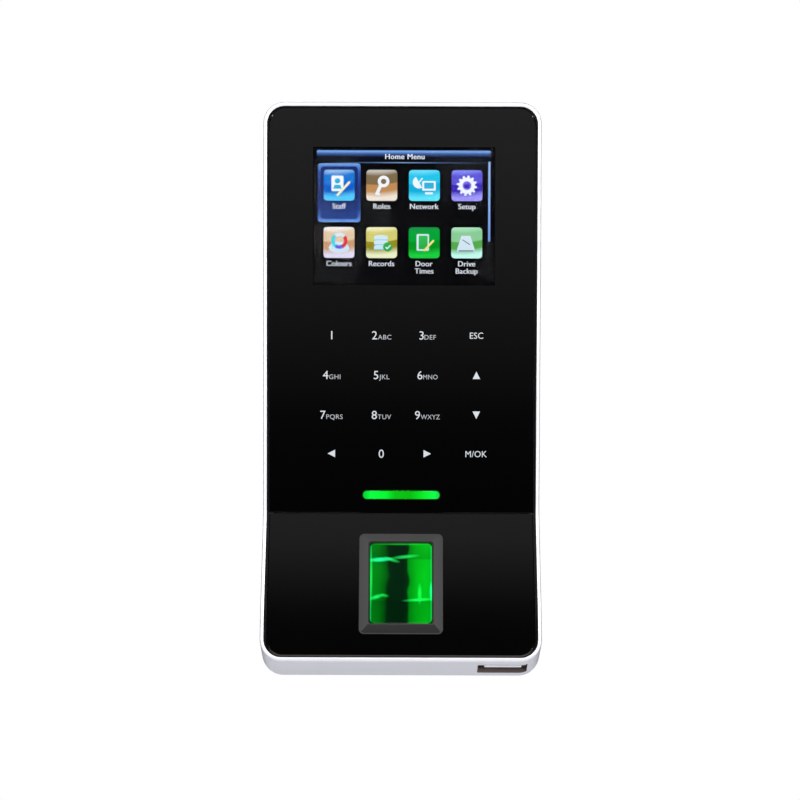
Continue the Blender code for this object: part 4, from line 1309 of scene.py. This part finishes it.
def board_finish(name, pitch, seed):
    """Green lacquer with raised tracks, gold pads and small dark holes."""
    mat = surface(name, (0.006, 0.060, 0.022), 0.32, grain=2500, depth=0.004, cloud=0.06,
                  dust=0.05, second=(0.005, 0.048, 0.018))
    n, l = mat.node_tree.nodes, mat.node_tree.links
    shader = n["Principled BSDF"]
    marks = put(n, "ShaderNodeGroup", {"Pitch": pitch, "Seed": seed}, node_tree=TRACKS)
    colour = shader.inputs["Base Color"].links[0].from_socket
    for label, tone in (("Track", (0.012, 0.105, 0.036, 1)), ("Pad", (0.62, 0.45, 0.20, 1)),
                        ("Hole", (0.004, 0.006, 0.004, 1))):
        layer = put(n, "ShaderNodeMix", {7: tone}, data_type="RGBA")
        link(l, marks, label, layer, 0)
        l.new(colour, layer.inputs[6])
        colour = layer.outputs[2]
    l.new(colour, shader.inputs["Base Color"])
    link(l, marks, "Pad", shader, "Metallic")
    raised = put(n, "ShaderNodeBump", {"Strength": 0.5, "Distance": 0.03 * MM})
    link(l, marks, "Track", raised, "Height")
    l.new(shader.inputs["Normal"].links[0].from_socket, raised.inputs["Normal"])
    link(l, raised, 0, shader, "Normal")
    return mat


def dress(finish, *names):
    """Gives solids their finish without changing their shape."""
    for name in names:
        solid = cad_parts[name]
        solid.data.materials.clear()
        solid.data.materials.append(finish)


main_lacquer = board_finish("board_lacquer", 1.1, 1.0)
small_lacquer = board_finish("small_board_lacquer", 0.8, 4.0)
dress(main_lacquer, "main_board", "touch_keypad_board")
dress(small_lacquer, "usb_board", "sensor_camera_board", "status_light_board")

resin = surface("package_resin", (0.016, 0.016, 0.017), 0.55, grain=5200, depth=0.012,
                cloud=0.08, dust=0.10, edge=0.2, edge_colour=(0.05, 0.05, 0.05))
tinned = surface("tinned_copper", (0.62, 0.61, 0.58), 0.30, 1.0, grain=2600, depth=0.004,
                 cloud=0.08, dust=0.0, second=(0.50, 0.49, 0.47))
shield_can = surface("shield_can_steel", (0.50, 0.50, 0.49), 0.36, 1.0, grain=1800,
                     depth=0.008, cloud=0.10, dust=0.05, second=(0.40, 0.40, 0.39))
BOARD_FACE = -4.55                   # the main board's side towards the wall
TURN_BACK = Matrix.Rotation(-math.pi / 2, 4, "X")
PACKAGES = [("processor", (-9.0, 5.0), (20.0, 34.0), 1.0, 24),
            ("memory_chip", (9.0, 18.0), (21.0, 33.0), 0.9, 16),
            ("storage_chip", (-24.0, -14.0), (22.0, 34.0), 0.9, 16),
            ("network_chip", (7.0, 14.0), (3.0, 10.0), 0.8, 10),
            ("power_regulator", (-13.0, -7.0), (4.0, 10.0), 1.0, 5)]
for name, x, z, height, legs in PACKAGES:
    edge = 0.9
    body = to_object(name + "_body", block((x[0] + edge, x[1] - edge), (BOARD_FACE, -4.6 + height),
                                           (z[0] + 0.1, z[1] - 0.1), 0.25, "y", 0.1))
    carve(body, [lathe([(0, 0.2), (0.45, 0.2), (0.45, -0.12), (0, -0.12)],
                       (x[0] + edge + 1.1, -4.6 + height, z[1] - 1.2),
                       TURN_BACK, 20)])
    fit(body, "terminal", "chip_black", resin, name)
    pitch = (z[1] - z[0] - 1.6) / (legs - 1)
    for label, start in (("left", x[0] + 0.5), ("right", x[1] - 0.5)):
        legs_row = row("%s_legs_%s" % (name, label), tinned, legs,
                       (start, -4.42, z[0] + 0.8), (0, 0, pitch), (0.95, 0.28, pitch * 0.5))
        fit(legs_row, "terminal", "screw_steel", tinned)
can = to_object("wireless_can", block((-31.9, -18.1), (-4.58, -3.62), (-14.9, -4.6), 0.5, "y",
                                      0.12))
fit(can, "terminal", "screw_steel", shield_can, "wireless_module")
carrier = to_object("wireless_carrier", block((-31.8, -18.2), (-4.56, -4.05), (-4.5, -0.1),
                                              0.1, "y"))
fit(carrier, "terminal", "green_board", small_lacquer)
aerial = row("wireless_aerial", gold_plate, 9, (-30.6, -3.99, -2.2), (1.4, 0, 0),
             (0.45, 0.08, 2.6))
fit(aerial, "terminal", "brass", gold_plate)

ceramic = surface("ceramic_tan", (0.24, 0.16, 0.10), 0.5, grain=2600, depth=0.006, cloud=0.1,
                  dust=0.05, second=(0.17, 0.11, 0.07))
# how many, first x and z, and the step in x and z of each row
CAPACITORS = [(8, -9.0, 16.6, 2.0, 0), (7, 8.6, 17.6, 1.7, 0), (6, -24.0, 18.0, 2.1, 0),
              (6, 17.4, 0.6, 0, 1.9), (5, -30.0, 36.5, 0, 2.0), (6, 24.5, 24.0, 0, 2.1),
              (5, -6.0, -26.0, 2.6, 0)]
for k, (count, x, z, step_x, step_z) in enumerate(CAPACITORS):
    small_parts = row("board_capacitors_%d" % (k + 1), ceramic, count, (x, BOARD_FACE, z),
                      (step_x, 0, step_z), (1.0, 0.55, 1.0))
    fit(small_parts, "terminal", "chip_black", ceramic)
cell_steel = surface("cell_steel", (0.56, 0.56, 0.55), 0.28, 1.0, grain=1600, depth=0.006,
                     cloud=0.12, dust=0.04, second=(0.46, 0.46, 0.45))
cell = to_object("clock_cell", lathe([(0, 0.6), (3.9, 0.6), (4.0, 0.52), (4.65, 0.52),
                                      (4.9, 0.42), (5.0, 0.25), (5.0, -0.45), (4.6, -0.58),
                                      (0, -0.58)], (25.5, -4.1, -8.0),
                                     TURN_BACK, 48))
fit(cell, "terminal", "screw_steel", cell_steel, "clock_battery")

housing_white = surface("connector_white", (0.74, 0.72, 0.66), 0.45, grain=3200, depth=0.012,
                        cloud=0.06, dust=0.08, second=(0.66, 0.63, 0.56))
for name, x in (("power_connector", (-11.0, -4.4)), ("network_connector", (-3.3, 3.3)),
                ("lock_connector", (4.4, 11.0))):
    socket = to_object(name + "_housing", block(x, (-4.58, -2.05), (-18.95, -12.95), 0.25, "y",
                                                0.12))
    carve(socket, [block((x[0] + 0.8, x[1] - 0.8), (-4.0, -2.8), (-21.0, -14.2), 0.15, "z"),
                   block((x[0] + 2.0, x[1] - 2.0), (-3.2, -1.0), (-21.0, -16.2), 0.1, "y")])
    fit(socket, "terminal", "white_plastic", housing_white, name)
    pins = row(name + "_pins", tinned, 4, (x[0] + 1.5, -3.4, -16.2), (1.2, 0, 0),
               (0.4, 0.4, 3.6))
    fit(pins, "terminal", "screw_steel", tinned)

cone_paper = surface("speaker_paper", (0.030, 0.029, 0.028), 0.75, grain=2200, depth=0.04,
                     cloud=0.08, dust=0.10)
speaker = to_object("speaker_unit", lathe([
    (0, 0.9), (2.4, 1.1), (2.9, 0.5), (3.6, 0.35), (5.4, 1.2), (6.0, 1.5), (6.6, 1.15),
    (7.3, 1.15), (7.45, 1.0), (7.45, -0.4), (6.4, -1.1), (4.2, -1.1), (4.1, -1.55),
    (0, -1.55)], (-18.0, -6.0, -66.0), TURN_BACK, 56))
fit(speaker, "terminal", "dark_plastic", cone_paper, "speaker")


# ------------------------------------------------------------------ display and touch parts
# The display sits in a pressed steel tray with its lamp sheet; film cables lead from it and
# from the touch board to the main board.  Two lamps stand behind the light pipe.

tray_steel = surface("tray_steel", (0.48, 0.48, 0.50), 0.34, 1.0, grain=1700, depth=0.006,
                     cloud=0.10, dust=0.03, edge=0.2, second=(0.40, 0.40, 0.42))
dress(tray_steel, "display_frame")
panel_dark = surface("panel_glass_dark", (0.010, 0.010, 0.013), 0.12, grain=900, depth=0.001,
                     cloud=0.05, dust=0.0, second=(0.014, 0.014, 0.020))
dress(panel_dark, "display_panel")
diffuser = surface("lamp_sheet_white", (0.80, 0.81, 0.83), 0.55, grain=9000, depth=0.01,
                   cloud=0.05, dust=0.0, second=(0.74, 0.75, 0.78))
dress(diffuser, "display_backlight", "status_lamp_left", "status_lamp_right",
      "sensor_lamp_board")
dress(resin, "touch_controller")


def film_cable(name, axis, pitch):
    """Amber film with copper lines along it."""
    mat = surface(name, (0.30, 0.13, 0.028), 0.30, grain=1500, depth=0.004, cloud=0.06,
                  dust=0.0, second=(0.24, 0.10, 0.02))
    n, l = mat.node_tree.nodes, mat.node_tree.links
    where = n.new("ShaderNodeTexCoord")
    axes = n.new("ShaderNodeSeparateXYZ")
    count = math_node(n, "MULTIPLY", 1 / (pitch * MM))
    part = math_node(n, "FRACT")
    line = math_node(n, "GREATER_THAN", 0.5)
    copper = put(n, "ShaderNodeMix", {7: (0.42, 0.20, 0.06, 1)}, data_type="RGBA")
    base = n["Principled BSDF"].inputs["Base Color"]
    link(l, where, "Object", axes, 0)
    link(l, axes, axis, count, 0)
    link(l, count, 0, part, 0)
    link(l, part, 0, line, 0)
    link(l, line, 0, copper, 0)
    l.new(base.links[0].from_socket, copper.inputs[6])
    l.new(copper.outputs[2], base)
    return mat


film = film_cable("film_cable_amber", "X", 0.5)
dress(film, "display_flat_cable", "keypad_flat_cable", "sensor_flat_cable")


# ------------------------------------------------------------------ parts behind the reader
# Under the glass a black moulded chamber holds a mirror, a small lens and the image chip on
# its board.

chamber_black = surface("chamber_black", (0.014, 0.014, 0.015), 0.72, grain=2600, depth=0.03,
                        cloud=0.06, dust=0.03)
dress(chamber_black, "sensor_housing")
mirror_coat = surface("mirror_coat", (0.82, 0.83, 0.85), 0.05, 1.0, grain=700, depth=0.0006,
                      cloud=0.03, dust=0.0, second=(0.76, 0.77, 0.80))
dress(mirror_coat, "sensor_mirror")
lens_coat = surface("lens_coat", (0.020, 0.012, 0.030), 0.06, grain=900, depth=0.0008,
                    cloud=0.03, dust=0.0, second=(0.010, 0.022, 0.030))
dress(lens_coat, "sensor_lens")
dress(resin, "sensor_image_chip")


# ------------------------------------------------------------------ rear cover
# The back is one dark moulding with a fine spark grain: a flat plate, a deeper pod behind
# the leaning part, slots for the plate's hooks, sound holes, ribs and a blank label field.

cover_plastic = surface("cover_plastic", (0.022, 0.022, 0.024), 0.58, grain=1900, depth=0.05,
                        cloud=0.07, dust=0.08, edge=0.45, edge_colour=(0.07, 0.07, 0.075))
COVER_IN = 2.0
COVER_INNER = -3.3 - UPPER_FRONT_Y
COVER_BACK = -0.3 - UPPER_FRONT_Y
rear_cover = to_object("rear_cover_fine", swept_band([
    (band_rows(COVER_IN), COVER_INNER), (band_rows(COVER_IN), COVER_BACK - 0.6),
    (band_rows(COVER_IN + 0.12), COVER_BACK - 0.25), (band_rows(COVER_IN + 0.45), COVER_BACK)],
    False))
POD = (28.5, -77.5)
LOCK_DEPTH = -5.2
HOOK_X = 17.0
HOOK_Z = (51.0, -50.0)
SWITCH_X = 21.0
SWITCH_Z = 10.0
carve(rear_cover, [
    block((-POD[0], POD[0]), (-9.5, -0.3), (POD[1], -42.0), 2.0, "y", 0.3),
    block((-POD[0], POD[0]), (-3.6, -0.3), (-46.0, -30.0), 2.0, "y", 0.3),
    block((20.0, 36.4), (-9.5, -5.2), (POD[1], -64.0), 1.5, "y", 0.3)], "UNION")
cuts = [block((-POD[0] + 1.6, POD[0] - 1.6), (-20.0, -3.3), (POD[1] + 1.6, -36.0)),
        block((16.0, 35.6), (-20.0, -6.4), (POD[1] + 1.6, -63.4)),
        block((16.0, 35.6), (-20.0, -8.3), (-90.0, -70.0)),
        block((-25.4, 25.4), (-1.7, 1.0), (-90.0, 70.4), 3.2, "y")]
carve(rear_cover, cuts)
carve(rear_cover, [block((-4.0, 4.0), (LOCK_DEPTH - 4.0, -1.7), (POD[1] + 1.0, POD[1] + 6.6),
                         0.8, "z")]
      + [block((x - 0.5, x + 0.5), (-3.7, -2.6), (-27.5, -13.0)) for x in (-15.5, 15.5)],
      "UNION")
holes = [block((-8.0, 8.0), (-9.6, 1.0), (-90.0, POD[1])),
         lathe([(0, 14), (2.35, 14), (2.35, -6), (0, -6)], (0, LOCK_DEPTH, POD[1])),
         block((-13.0, 13.0), (-5.0, 0.5), (-29.0, -11.0), 2.0)]
for side in (-1, 1):
    for z in HOOK_Z:
        holes.append(block((side * HOOK_X - 4.6, side * HOOK_X + 4.6), (-4.6, 0.5),
                           (z - 5.8, z + 1.5), 0.4))
COVER_SCREWS = [(side * 33.0, z) for side in (-1, 1) for z in (71.0, -60.0)]


def cover_back(z):
    return -0.3 if z > 0 else front_y(z) + 11.0


for x, z in COVER_SCREWS:
    holes.append(lathe([(0, 4.5), (2.6, 4.5), (2.6, -1.5), (1.5, -1.5), (1.5, -9.0), (0, -9.0)],
                       (x, cover_back(z), z), TURN_BACK, 32))
for x, radius in ((SWITCH_X, 1.8), (-SWITCH_X, 1.6)):
    holes.append(lathe([(0, 4), (radius, 4), (radius, -4), (0, -4)], (x, -2.5, SWITCH_Z),
                       TURN_BACK, 32))
carve(rear_cover, holes)
# ribs and recesses that only show: sound holes, a label field and grip lines
details = [block((-9.0, 9.0), (-2.0, 0.5), (36.0, 47.0), 0.8)]
for k in range(5):
    for j in range(3):
        details.append(lathe([(0, 3), (0.55, 3), (0.55, -3), (0, -3)],
                             (-22.4 + 2.2 * k, -1.7, -68.2 + 2.2 * j), TURN_BACK, 12))
for k in range(7):
    z = -38.0 + 1.5 * k
    details.append(block((-24.0, -14.5), (-2.1, 0.5), (z - 0.32, z + 0.32), 0.3))
    details.append(block((14.5, 24.0), (-2.1, 0.5), (z - 0.32, z + 0.32), 0.3))
carve(rear_cover, details)
fit(rear_cover, "terminal", "dark_plastic", cover_plastic, "rear_cover")
label_paper = surface("label_silver_paper", (0.55, 0.56, 0.57), 0.45, 0.2, grain=1400,
                      depth=0.006, cloud=0.06, dust=0.06, second=(0.48, 0.49, 0.50))
label = to_object("blank_label", block((-8.6, 8.6), (-2.02, -1.86), (36.4, 46.6), 0.6, "y"))
fit(label, "terminal", "white_plastic", label_paper)

rubber = surface("soft_rubber", (0.012, 0.012, 0.012), 0.82, grain=2400, depth=0.04,
                 cloud=0.05, dust=0.30)
grommet = to_object("wire_grommet_fine", block((-12.7, 12.7), (-3.2, -1.8), (-28.7, -11.3),
                                               1.8, "y", 0.25))
carve(grommet, [block((-11.6, 11.6), (-5.0, 0.5), (-27.6, -12.4), 1.2)])
fit(grommet, "terminal", "black_rubber", rubber, "wire_grommet")


# ------------------------------------------------------------------ screws
# Pan head screws with a cross recess and rolled thread hold the cover and the board.  The
# locking screw under the terminal has the same drive and turns into a knurled brass insert.

def screw_tree():
    """A cross-recess screw on every point: head, bevelled rim, shank and thread ridges."""
    tree = bpy.data.node_groups.new("cross_recess_screw", "GeometryNodeTree")
    face = tree.interface
    face.new_socket("Geometry", in_out="INPUT", socket_type="NodeSocketGeometry")
    for label, value in (("Head Radius", 2.2), ("Head Height", 1.1), ("Shank Radius", 0.8),
                         ("Thread Radius", 1.0), ("Length", 4.0), ("Thread Pitch", 0.5),
                         ("Drive", 2.2)):
        face.new_socket(label, in_out="INPUT", socket_type="NodeSocketFloat").default_value = value
    face.new_socket("Turn", in_out="INPUT", socket_type="NodeSocketVector")
    face.new_socket("Finish", in_out="INPUT", socket_type="NodeSocketMaterial")
    face.new_socket("Geometry", in_out="OUTPUT", socket_type="NodeSocketGeometry")
    n, l = tree.nodes, tree.links
    given, out = n.new("NodeGroupInput"), n.new("NodeGroupOutput")

    def number(operation, a, b):
        node = put(n, "ShaderNodeMath", operation=operation)
        for index, value in enumerate((a, b)):
            if isinstance(value, (int, float)):
                node.inputs[index].default_value = value
            elif value is not None:
                l.new(value, node.inputs[index])
        return node.outputs[0]

    def moved(mesh, z):
        place = n.new("ShaderNodeCombineXYZ")
        l.new(z, place.inputs["Z"])
        shift = n.new("GeometryNodeTransform")
        l.new(mesh, shift.inputs["Geometry"])
        link(l, place, 0, shift, "Translation")
        return shift.outputs[0]

    def stack(radius_low, radius_high, depth, middle, sides):
        cone = put(n, "GeometryNodeMeshCone", {"Vertices": sides})
        l.new(radius_high, cone.inputs["Radius Top"])
        l.new(radius_low, cone.inputs["Radius Bottom"])
        l.new(depth, cone.inputs["Depth"])
        return moved(cone.outputs["Mesh"], middle)

    head_r, head_h = given.outputs["Head Radius"], given.outputs["Head Height"]
    half = number("MULTIPLY", head_h, 0.5)
    bottom = stack(head_r, head_r, half, number("MULTIPLY", head_h, 0.0), 40)
    top = stack(head_r, number("MULTIPLY", head_r, 0.72), half, half, 40)
    head = put(n, "GeometryNodeMeshBoolean", operation="UNION", solver="EXACT")
    l.new(bottom, head.inputs["Mesh 2"])
    l.new(top, head.inputs["Mesh 2"])
    cut = put(n, "GeometryNodeMeshBoolean", operation="DIFFERENCE", solver="EXACT")
    link(l, head, "Mesh", cut, "Mesh 1")
    thin = number("MULTIPLY", given.outputs["Drive"], 0.24)
    for first in (True, False):
        size = n.new("ShaderNodeCombineXYZ")
        l.new(given.outputs["Drive"] if first else thin, size.inputs["X"])
        l.new(thin if first else given.outputs["Drive"], size.inputs["Y"])
        l.new(number("MULTIPLY", head_h, 1.3), size.inputs["Z"])
        blade = n.new("GeometryNodeMeshCube")
        link(l, size, 0, blade, "Size")
        l.new(moved(blade.outputs["Mesh"], head_h), cut.inputs["Mesh 2"])
    parts = n.new("GeometryNodeJoinGeometry")
    link(l, cut, "Mesh", parts, 0)
    length = given.outputs["Length"]
    shank = stack(given.outputs["Shank Radius"], given.outputs["Shank Radius"], length,
                  number("MULTIPLY", length, -1.0), 24)
    l.new(shank, parts.inputs[0])
    pitch = given.outputs["Thread Pitch"]
    ridge = put(n, "GeometryNodeMeshCone", {"Vertices": 24})
    link(l, given, "Thread Radius", ridge, "Radius Bottom")
    link(l, given, "Shank Radius", ridge, "Radius Top")
    l.new(number("MULTIPLY", pitch, 0.6), ridge.inputs["Depth"])
    line = put(n, "GeometryNodeMeshLine", mode="OFFSET")
    count = number("FLOOR", number("DIVIDE", number("MULTIPLY", length, 0.85), pitch), None)
    l.new(count, line.inputs["Count"])
    start = n.new("ShaderNodeCombineXYZ")
    l.new(number("MULTIPLY", length, -0.92), start.inputs["Z"])
    step = n.new("ShaderNodeCombineXYZ")
    l.new(pitch, step.inputs["Z"])
    link(l, start, 0, line, "Start Location")
    link(l, step, 0, line, "Offset")
    ridges = n.new("GeometryNodeInstanceOnPoints")
    link(l, line, 0, ridges, "Points")
    link(l, ridge, "Mesh", ridges, "Instance")
    link(l, ridges, 0, parts, 0)
    spread = n.new("GeometryNodeInstanceOnPoints")
    link(l, given, "Geometry", spread, "Points")
    link(l, parts, 0, spread, "Instance")
    link(l, given, "Turn", spread, "Rotation")
    solid = n.new("GeometryNodeRealizeInstances")
    link(l, spread, 0, solid, 0)
    paint = n.new("GeometryNodeSetMaterial")
    link(l, solid, 0, paint, "Geometry")
    link(l, given, "Finish", paint, "Material")
    link(l, paint, 0, out, 0)
    return tree


SCREW = screw_tree()


def screws(name, finish, points, turn, head_radius, head_height, shank, thread, length, pitch,
           drive):
    """Screws on the given seats, in millimetres; the head grows along the turned Z."""
    return grown(name, SCREW, {
        "Head Radius": head_radius * MM, "Head Height": head_height * MM,
        "Shank Radius": shank * MM, "Thread Radius": thread * MM, "Length": length * MM,
        "Thread Pitch": pitch * MM, "Drive": drive * MM, "Turn": turn, "Finish": finish},
        points)


screw_black = surface("screw_black_zinc", (0.060, 0.058, 0.056), 0.36, 0.9, grain=3200,
                      depth=0.006, cloud=0.10, dust=0.05, edge=0.6,
                      edge_colour=(0.42, 0.41, 0.39))
screw_bright = surface("screw_bright_zinc", (0.52, 0.52, 0.51), 0.30, 1.0, grain=3200,
                       depth=0.006, cloud=0.10, dust=0.03, edge=0.3,
                       second=(0.42, 0.42, 0.40))
HEAD_BACK = (-math.pi / 2, 0, 0)
cover_points = [(x, cover_back(z) - 1.15, z) for x, z in COVER_SCREWS]
fit(screws("cover_screws", screw_black, cover_points, HEAD_BACK, 2.15, 1.1, 0.78, 1.0, 4.1,
           0.5, 2.4), "terminal", "screw_steel", screw_black,
    "cover_screw_1", "cover_screw_2", "cover_screw_3", "cover_screw_4")
board_points = [(x, -4.55, z) for x in (-33.0, 33.0) for z in (40.0, -22.0)]
fit(screws("board_screws", screw_bright, board_points, HEAD_BACK, 1.75, 0.85, 0.62, 0.8, 2.5,
           0.4, 1.9), "terminal", "screw_steel", screw_bright,
    "board_screw_1", "board_screw_2", "board_screw_3", "board_screw_4")
fit(screws("locking_screw_fine", screw_bright, [(0, LOCK_DEPTH, -79.32)], (math.pi, 0, 0), 2.25,
           1.25, 1.05, 1.3, 6.8, 0.5, 2.5), "lock_screw", "screw_steel", screw_bright,
    "locking_screw")

brass = surface("insert_brass", (0.60, 0.40, 0.14), 0.30, 1.0, grain=2600, depth=0.006,
                cloud=0.10, dust=0.0, second=(0.46, 0.29, 0.09))
knurl = []
for k in range(72):
    a = 2 * math.pi * k / 72
    knurl.append((math.cos(a), math.sin(a), 2.3 if k % 3 else 2.16))
insert_bm = bmesh.new()
rings = []
for radius, height in ((None, -2.0), (None, -0.4), (2.05, -0.3), (2.05, 0.3), (None, 0.4),
                       (None, 2.0), (1.6, 2.0), (1.6, -2.0)):
    rings.append([insert_bm.verts.new(Vector((c * (radius or r), LOCK_DEPTH + s * (radius or r),
                                              POD[1] + 2.3 + height)) * MM)
                  for c, s, r in knurl])
for a, b in zip(rings, rings[1:] + rings[:1]):
    skin(insert_bm, a, b)
bmesh.ops.recalc_face_normals(insert_bm, faces=insert_bm.faces)
fit(to_object("brass_insert", insert_bm), "terminal", "brass", brass, "threaded_insert")


# ------------------------------------------------------------------ switches on the back
# Two small push switches on the main board: a white plunger the wall plate holds down, and
# a sunk reset button reached with a pin.

for name, x in (("tamper_switch", SWITCH_X), ("reset_switch", -SWITCH_X)):
    switch = to_object(name + "_body", block((x - 2.95, x + 2.95), (-4.58, -3.62), (7.05, 12.95),
                                             0.3, "y", 0.12))
    carve(switch, [lathe([(0, 2), (1.5, 2), (1.5, -0.88), (0, -0.88)], (x, -3.6, SWITCH_Z),
                         TURN_BACK, 32)])
    fit(switch, "terminal", "chip_black", resin, name)
    for side in (-1, 1):
        feet = row("%s_feet_%d" % (name, side + 2), tinned, 2, (x + side * 3.3, -4.5, 8.2),
                   (0, 0, 3.6), (1.0, 0.2, 0.7))
        fit(feet, "terminal", "screw_steel", tinned)
plunger_white = surface("plunger_white", (0.70, 0.69, 0.66), 0.42, grain=3000, depth=0.01,
                        cloud=0.06, dust=0.05, second=(0.62, 0.60, 0.56))
pin_dark = surface("pin_dark", (0.035, 0.034, 0.034), 0.5, grain=3000, depth=0.012,
                   cloud=0.07, dust=0.08)
for name, body, slot_name, x, tip, finish in (
        ("tamper_plunger", "tamper_pin", "white_plastic", SWITCH_X, -1.5, plunger_white),
        ("reset_button", "reset_pin", "bezel_plastic", -SWITCH_X, -2.0, pin_dark)):
    long = tip + 3.3
    pin = to_object(name + "_fine", lathe([
        (0, long), (0.7, long), (1.0, long - 0.08), (1.18, long - 0.3), (1.2, long - 0.5),
        (1.2, 0.1), (1.1, 0.0), (0, 0.0)], (x, -3.3, SWITCH_Z), TURN_BACK, 36))
    fit(pin, body, slot_name, finish, name)


# ------------------------------------------------------------------ wall plate
# A galvanised steel plate, stamped and bent: four hooks carry the terminal, slotted holes
# take the wall screws, and a bent tab below takes the locking screw.

def make_spangle():
    """Zinc spangle: flat crystals that each reflect a little differently."""
    tree, given, out = new_group("zinc_spangle", [("Scale", 160.0)], ["Tone", "Edge"])
    n, l = tree.nodes, tree.links
    where = n.new("ShaderNodeTexCoord")
    cells = n.new("ShaderNodeTexVoronoi")
    borders = put(n, "ShaderNodeTexVoronoi", feature="DISTANCE_TO_EDGE")
    for node in (cells, borders):
        link(l, where, "Object", node, "Vector")
        link(l, given, "Scale", node, "Scale")
    tone = n.new("ShaderNodeSeparateXYZ")
    link(l, cells, "Color", tone, 0)
    link(l, tone, "X", out, "Tone")
    link(l, borders, "Distance", out, "Edge")
    return tree


SPANGLE = make_spangle()
zinc = surface("zinc_plate", (0.50, 0.51, 0.52), 0.42, 1.0, grain=1500, depth=0.006, cloud=0.08,
               dust=0.05, edge=0.5, edge_colour=(0.68, 0.68, 0.68), second=(0.43, 0.44, 0.45))
zn, zl = zinc.node_tree.nodes, zinc.node_tree.links
crystal = put(zn, "ShaderNodeGroup", {"Scale": 420}, node_tree=SPANGLE)
tone_range = put(zn, "ShaderNodeMapRange", {"To Min": 0.82, "To Max": 1.0})
link(zl, crystal, "Tone", tone_range, "Value")
toned = put(zn, "ShaderNodeVectorMath", operation="SCALE")
zinc_base = zn["Principled BSDF"].inputs["Base Color"]
zl.new(zinc_base.links[0].from_socket, toned.inputs[0])
link(zl, tone_range, 0, toned, "Scale")
zl.new(toned.outputs[0], zinc_base)

STEEL = 1.2
wall_plate = to_object("wall_plate_fine", block((-25, 25), (-STEEL, 0), (-70, 70), 3.0, "y", 0.1))
pressed = [block((-7, 7), (-STEEL, 0), (-78.9, -66.0)),
           block((-7, 7), (-8.0, -0.4), (-79.0, -77.8), 0.4, "x")]
for side in (-1, 1):
    for z in HOOK_Z:
        x = (side * HOOK_X - 4.0, side * HOOK_X + 4.0)
        pressed.append(block(x, (-4.6, -0.4), (z, z + STEEL), 0.35, "x"))
        pressed.append(block(x, (-4.6, -3.7), (z + 0.3, z + 5.0), 0.3, "x", 0.1))
    pressed.append(block((side * 21.5 - 0.9, side * 21.5 + 0.9), (-1.45, -0.4), (-42.0, -4.0),
                         0.9, "y", 0.12))
    pressed.append(block((side * 12.0 - 0.9, side * 12.0 + 0.9), (-1.45, -0.4), (14.0, 58.0),
                         0.9, "y", 0.12))
carve(wall_plate, pressed, "UNION")
punched = [block((-15, 15), (-3, 1), (-31, -9), 2.5)]
for x, z, wide, high in ((0.0, 62.0, 9.0, 4.2), (-17.0, -60.0, 4.2, 9.0),
                         (17.0, -60.0, 4.2, 9.0), (0.0, 32.0, 4.2, 9.0)):
    punched.append(block((x - wide / 2, x + wide / 2), (-3, 1), (z - high / 2, z + high / 2),
                         2.08, steps=10))
punched.append(lathe([(0, 3), (1.7, 3), (1.7, -3), (0, -3)], (0, LOCK_DEPTH, -78.4)))
for side in (-1, 1):
    for z in HOOK_Z:
        punched.append(block((side * HOOK_X - 4.6, side * HOOK_X + 4.6), (-0.25, 1),
                             (z - 3.4, z - 0.5), 0.3))
carve(wall_plate, punched)
fit(wall_plate, "wall_bracket", "zinc_steel", zinc, "wall_plate")
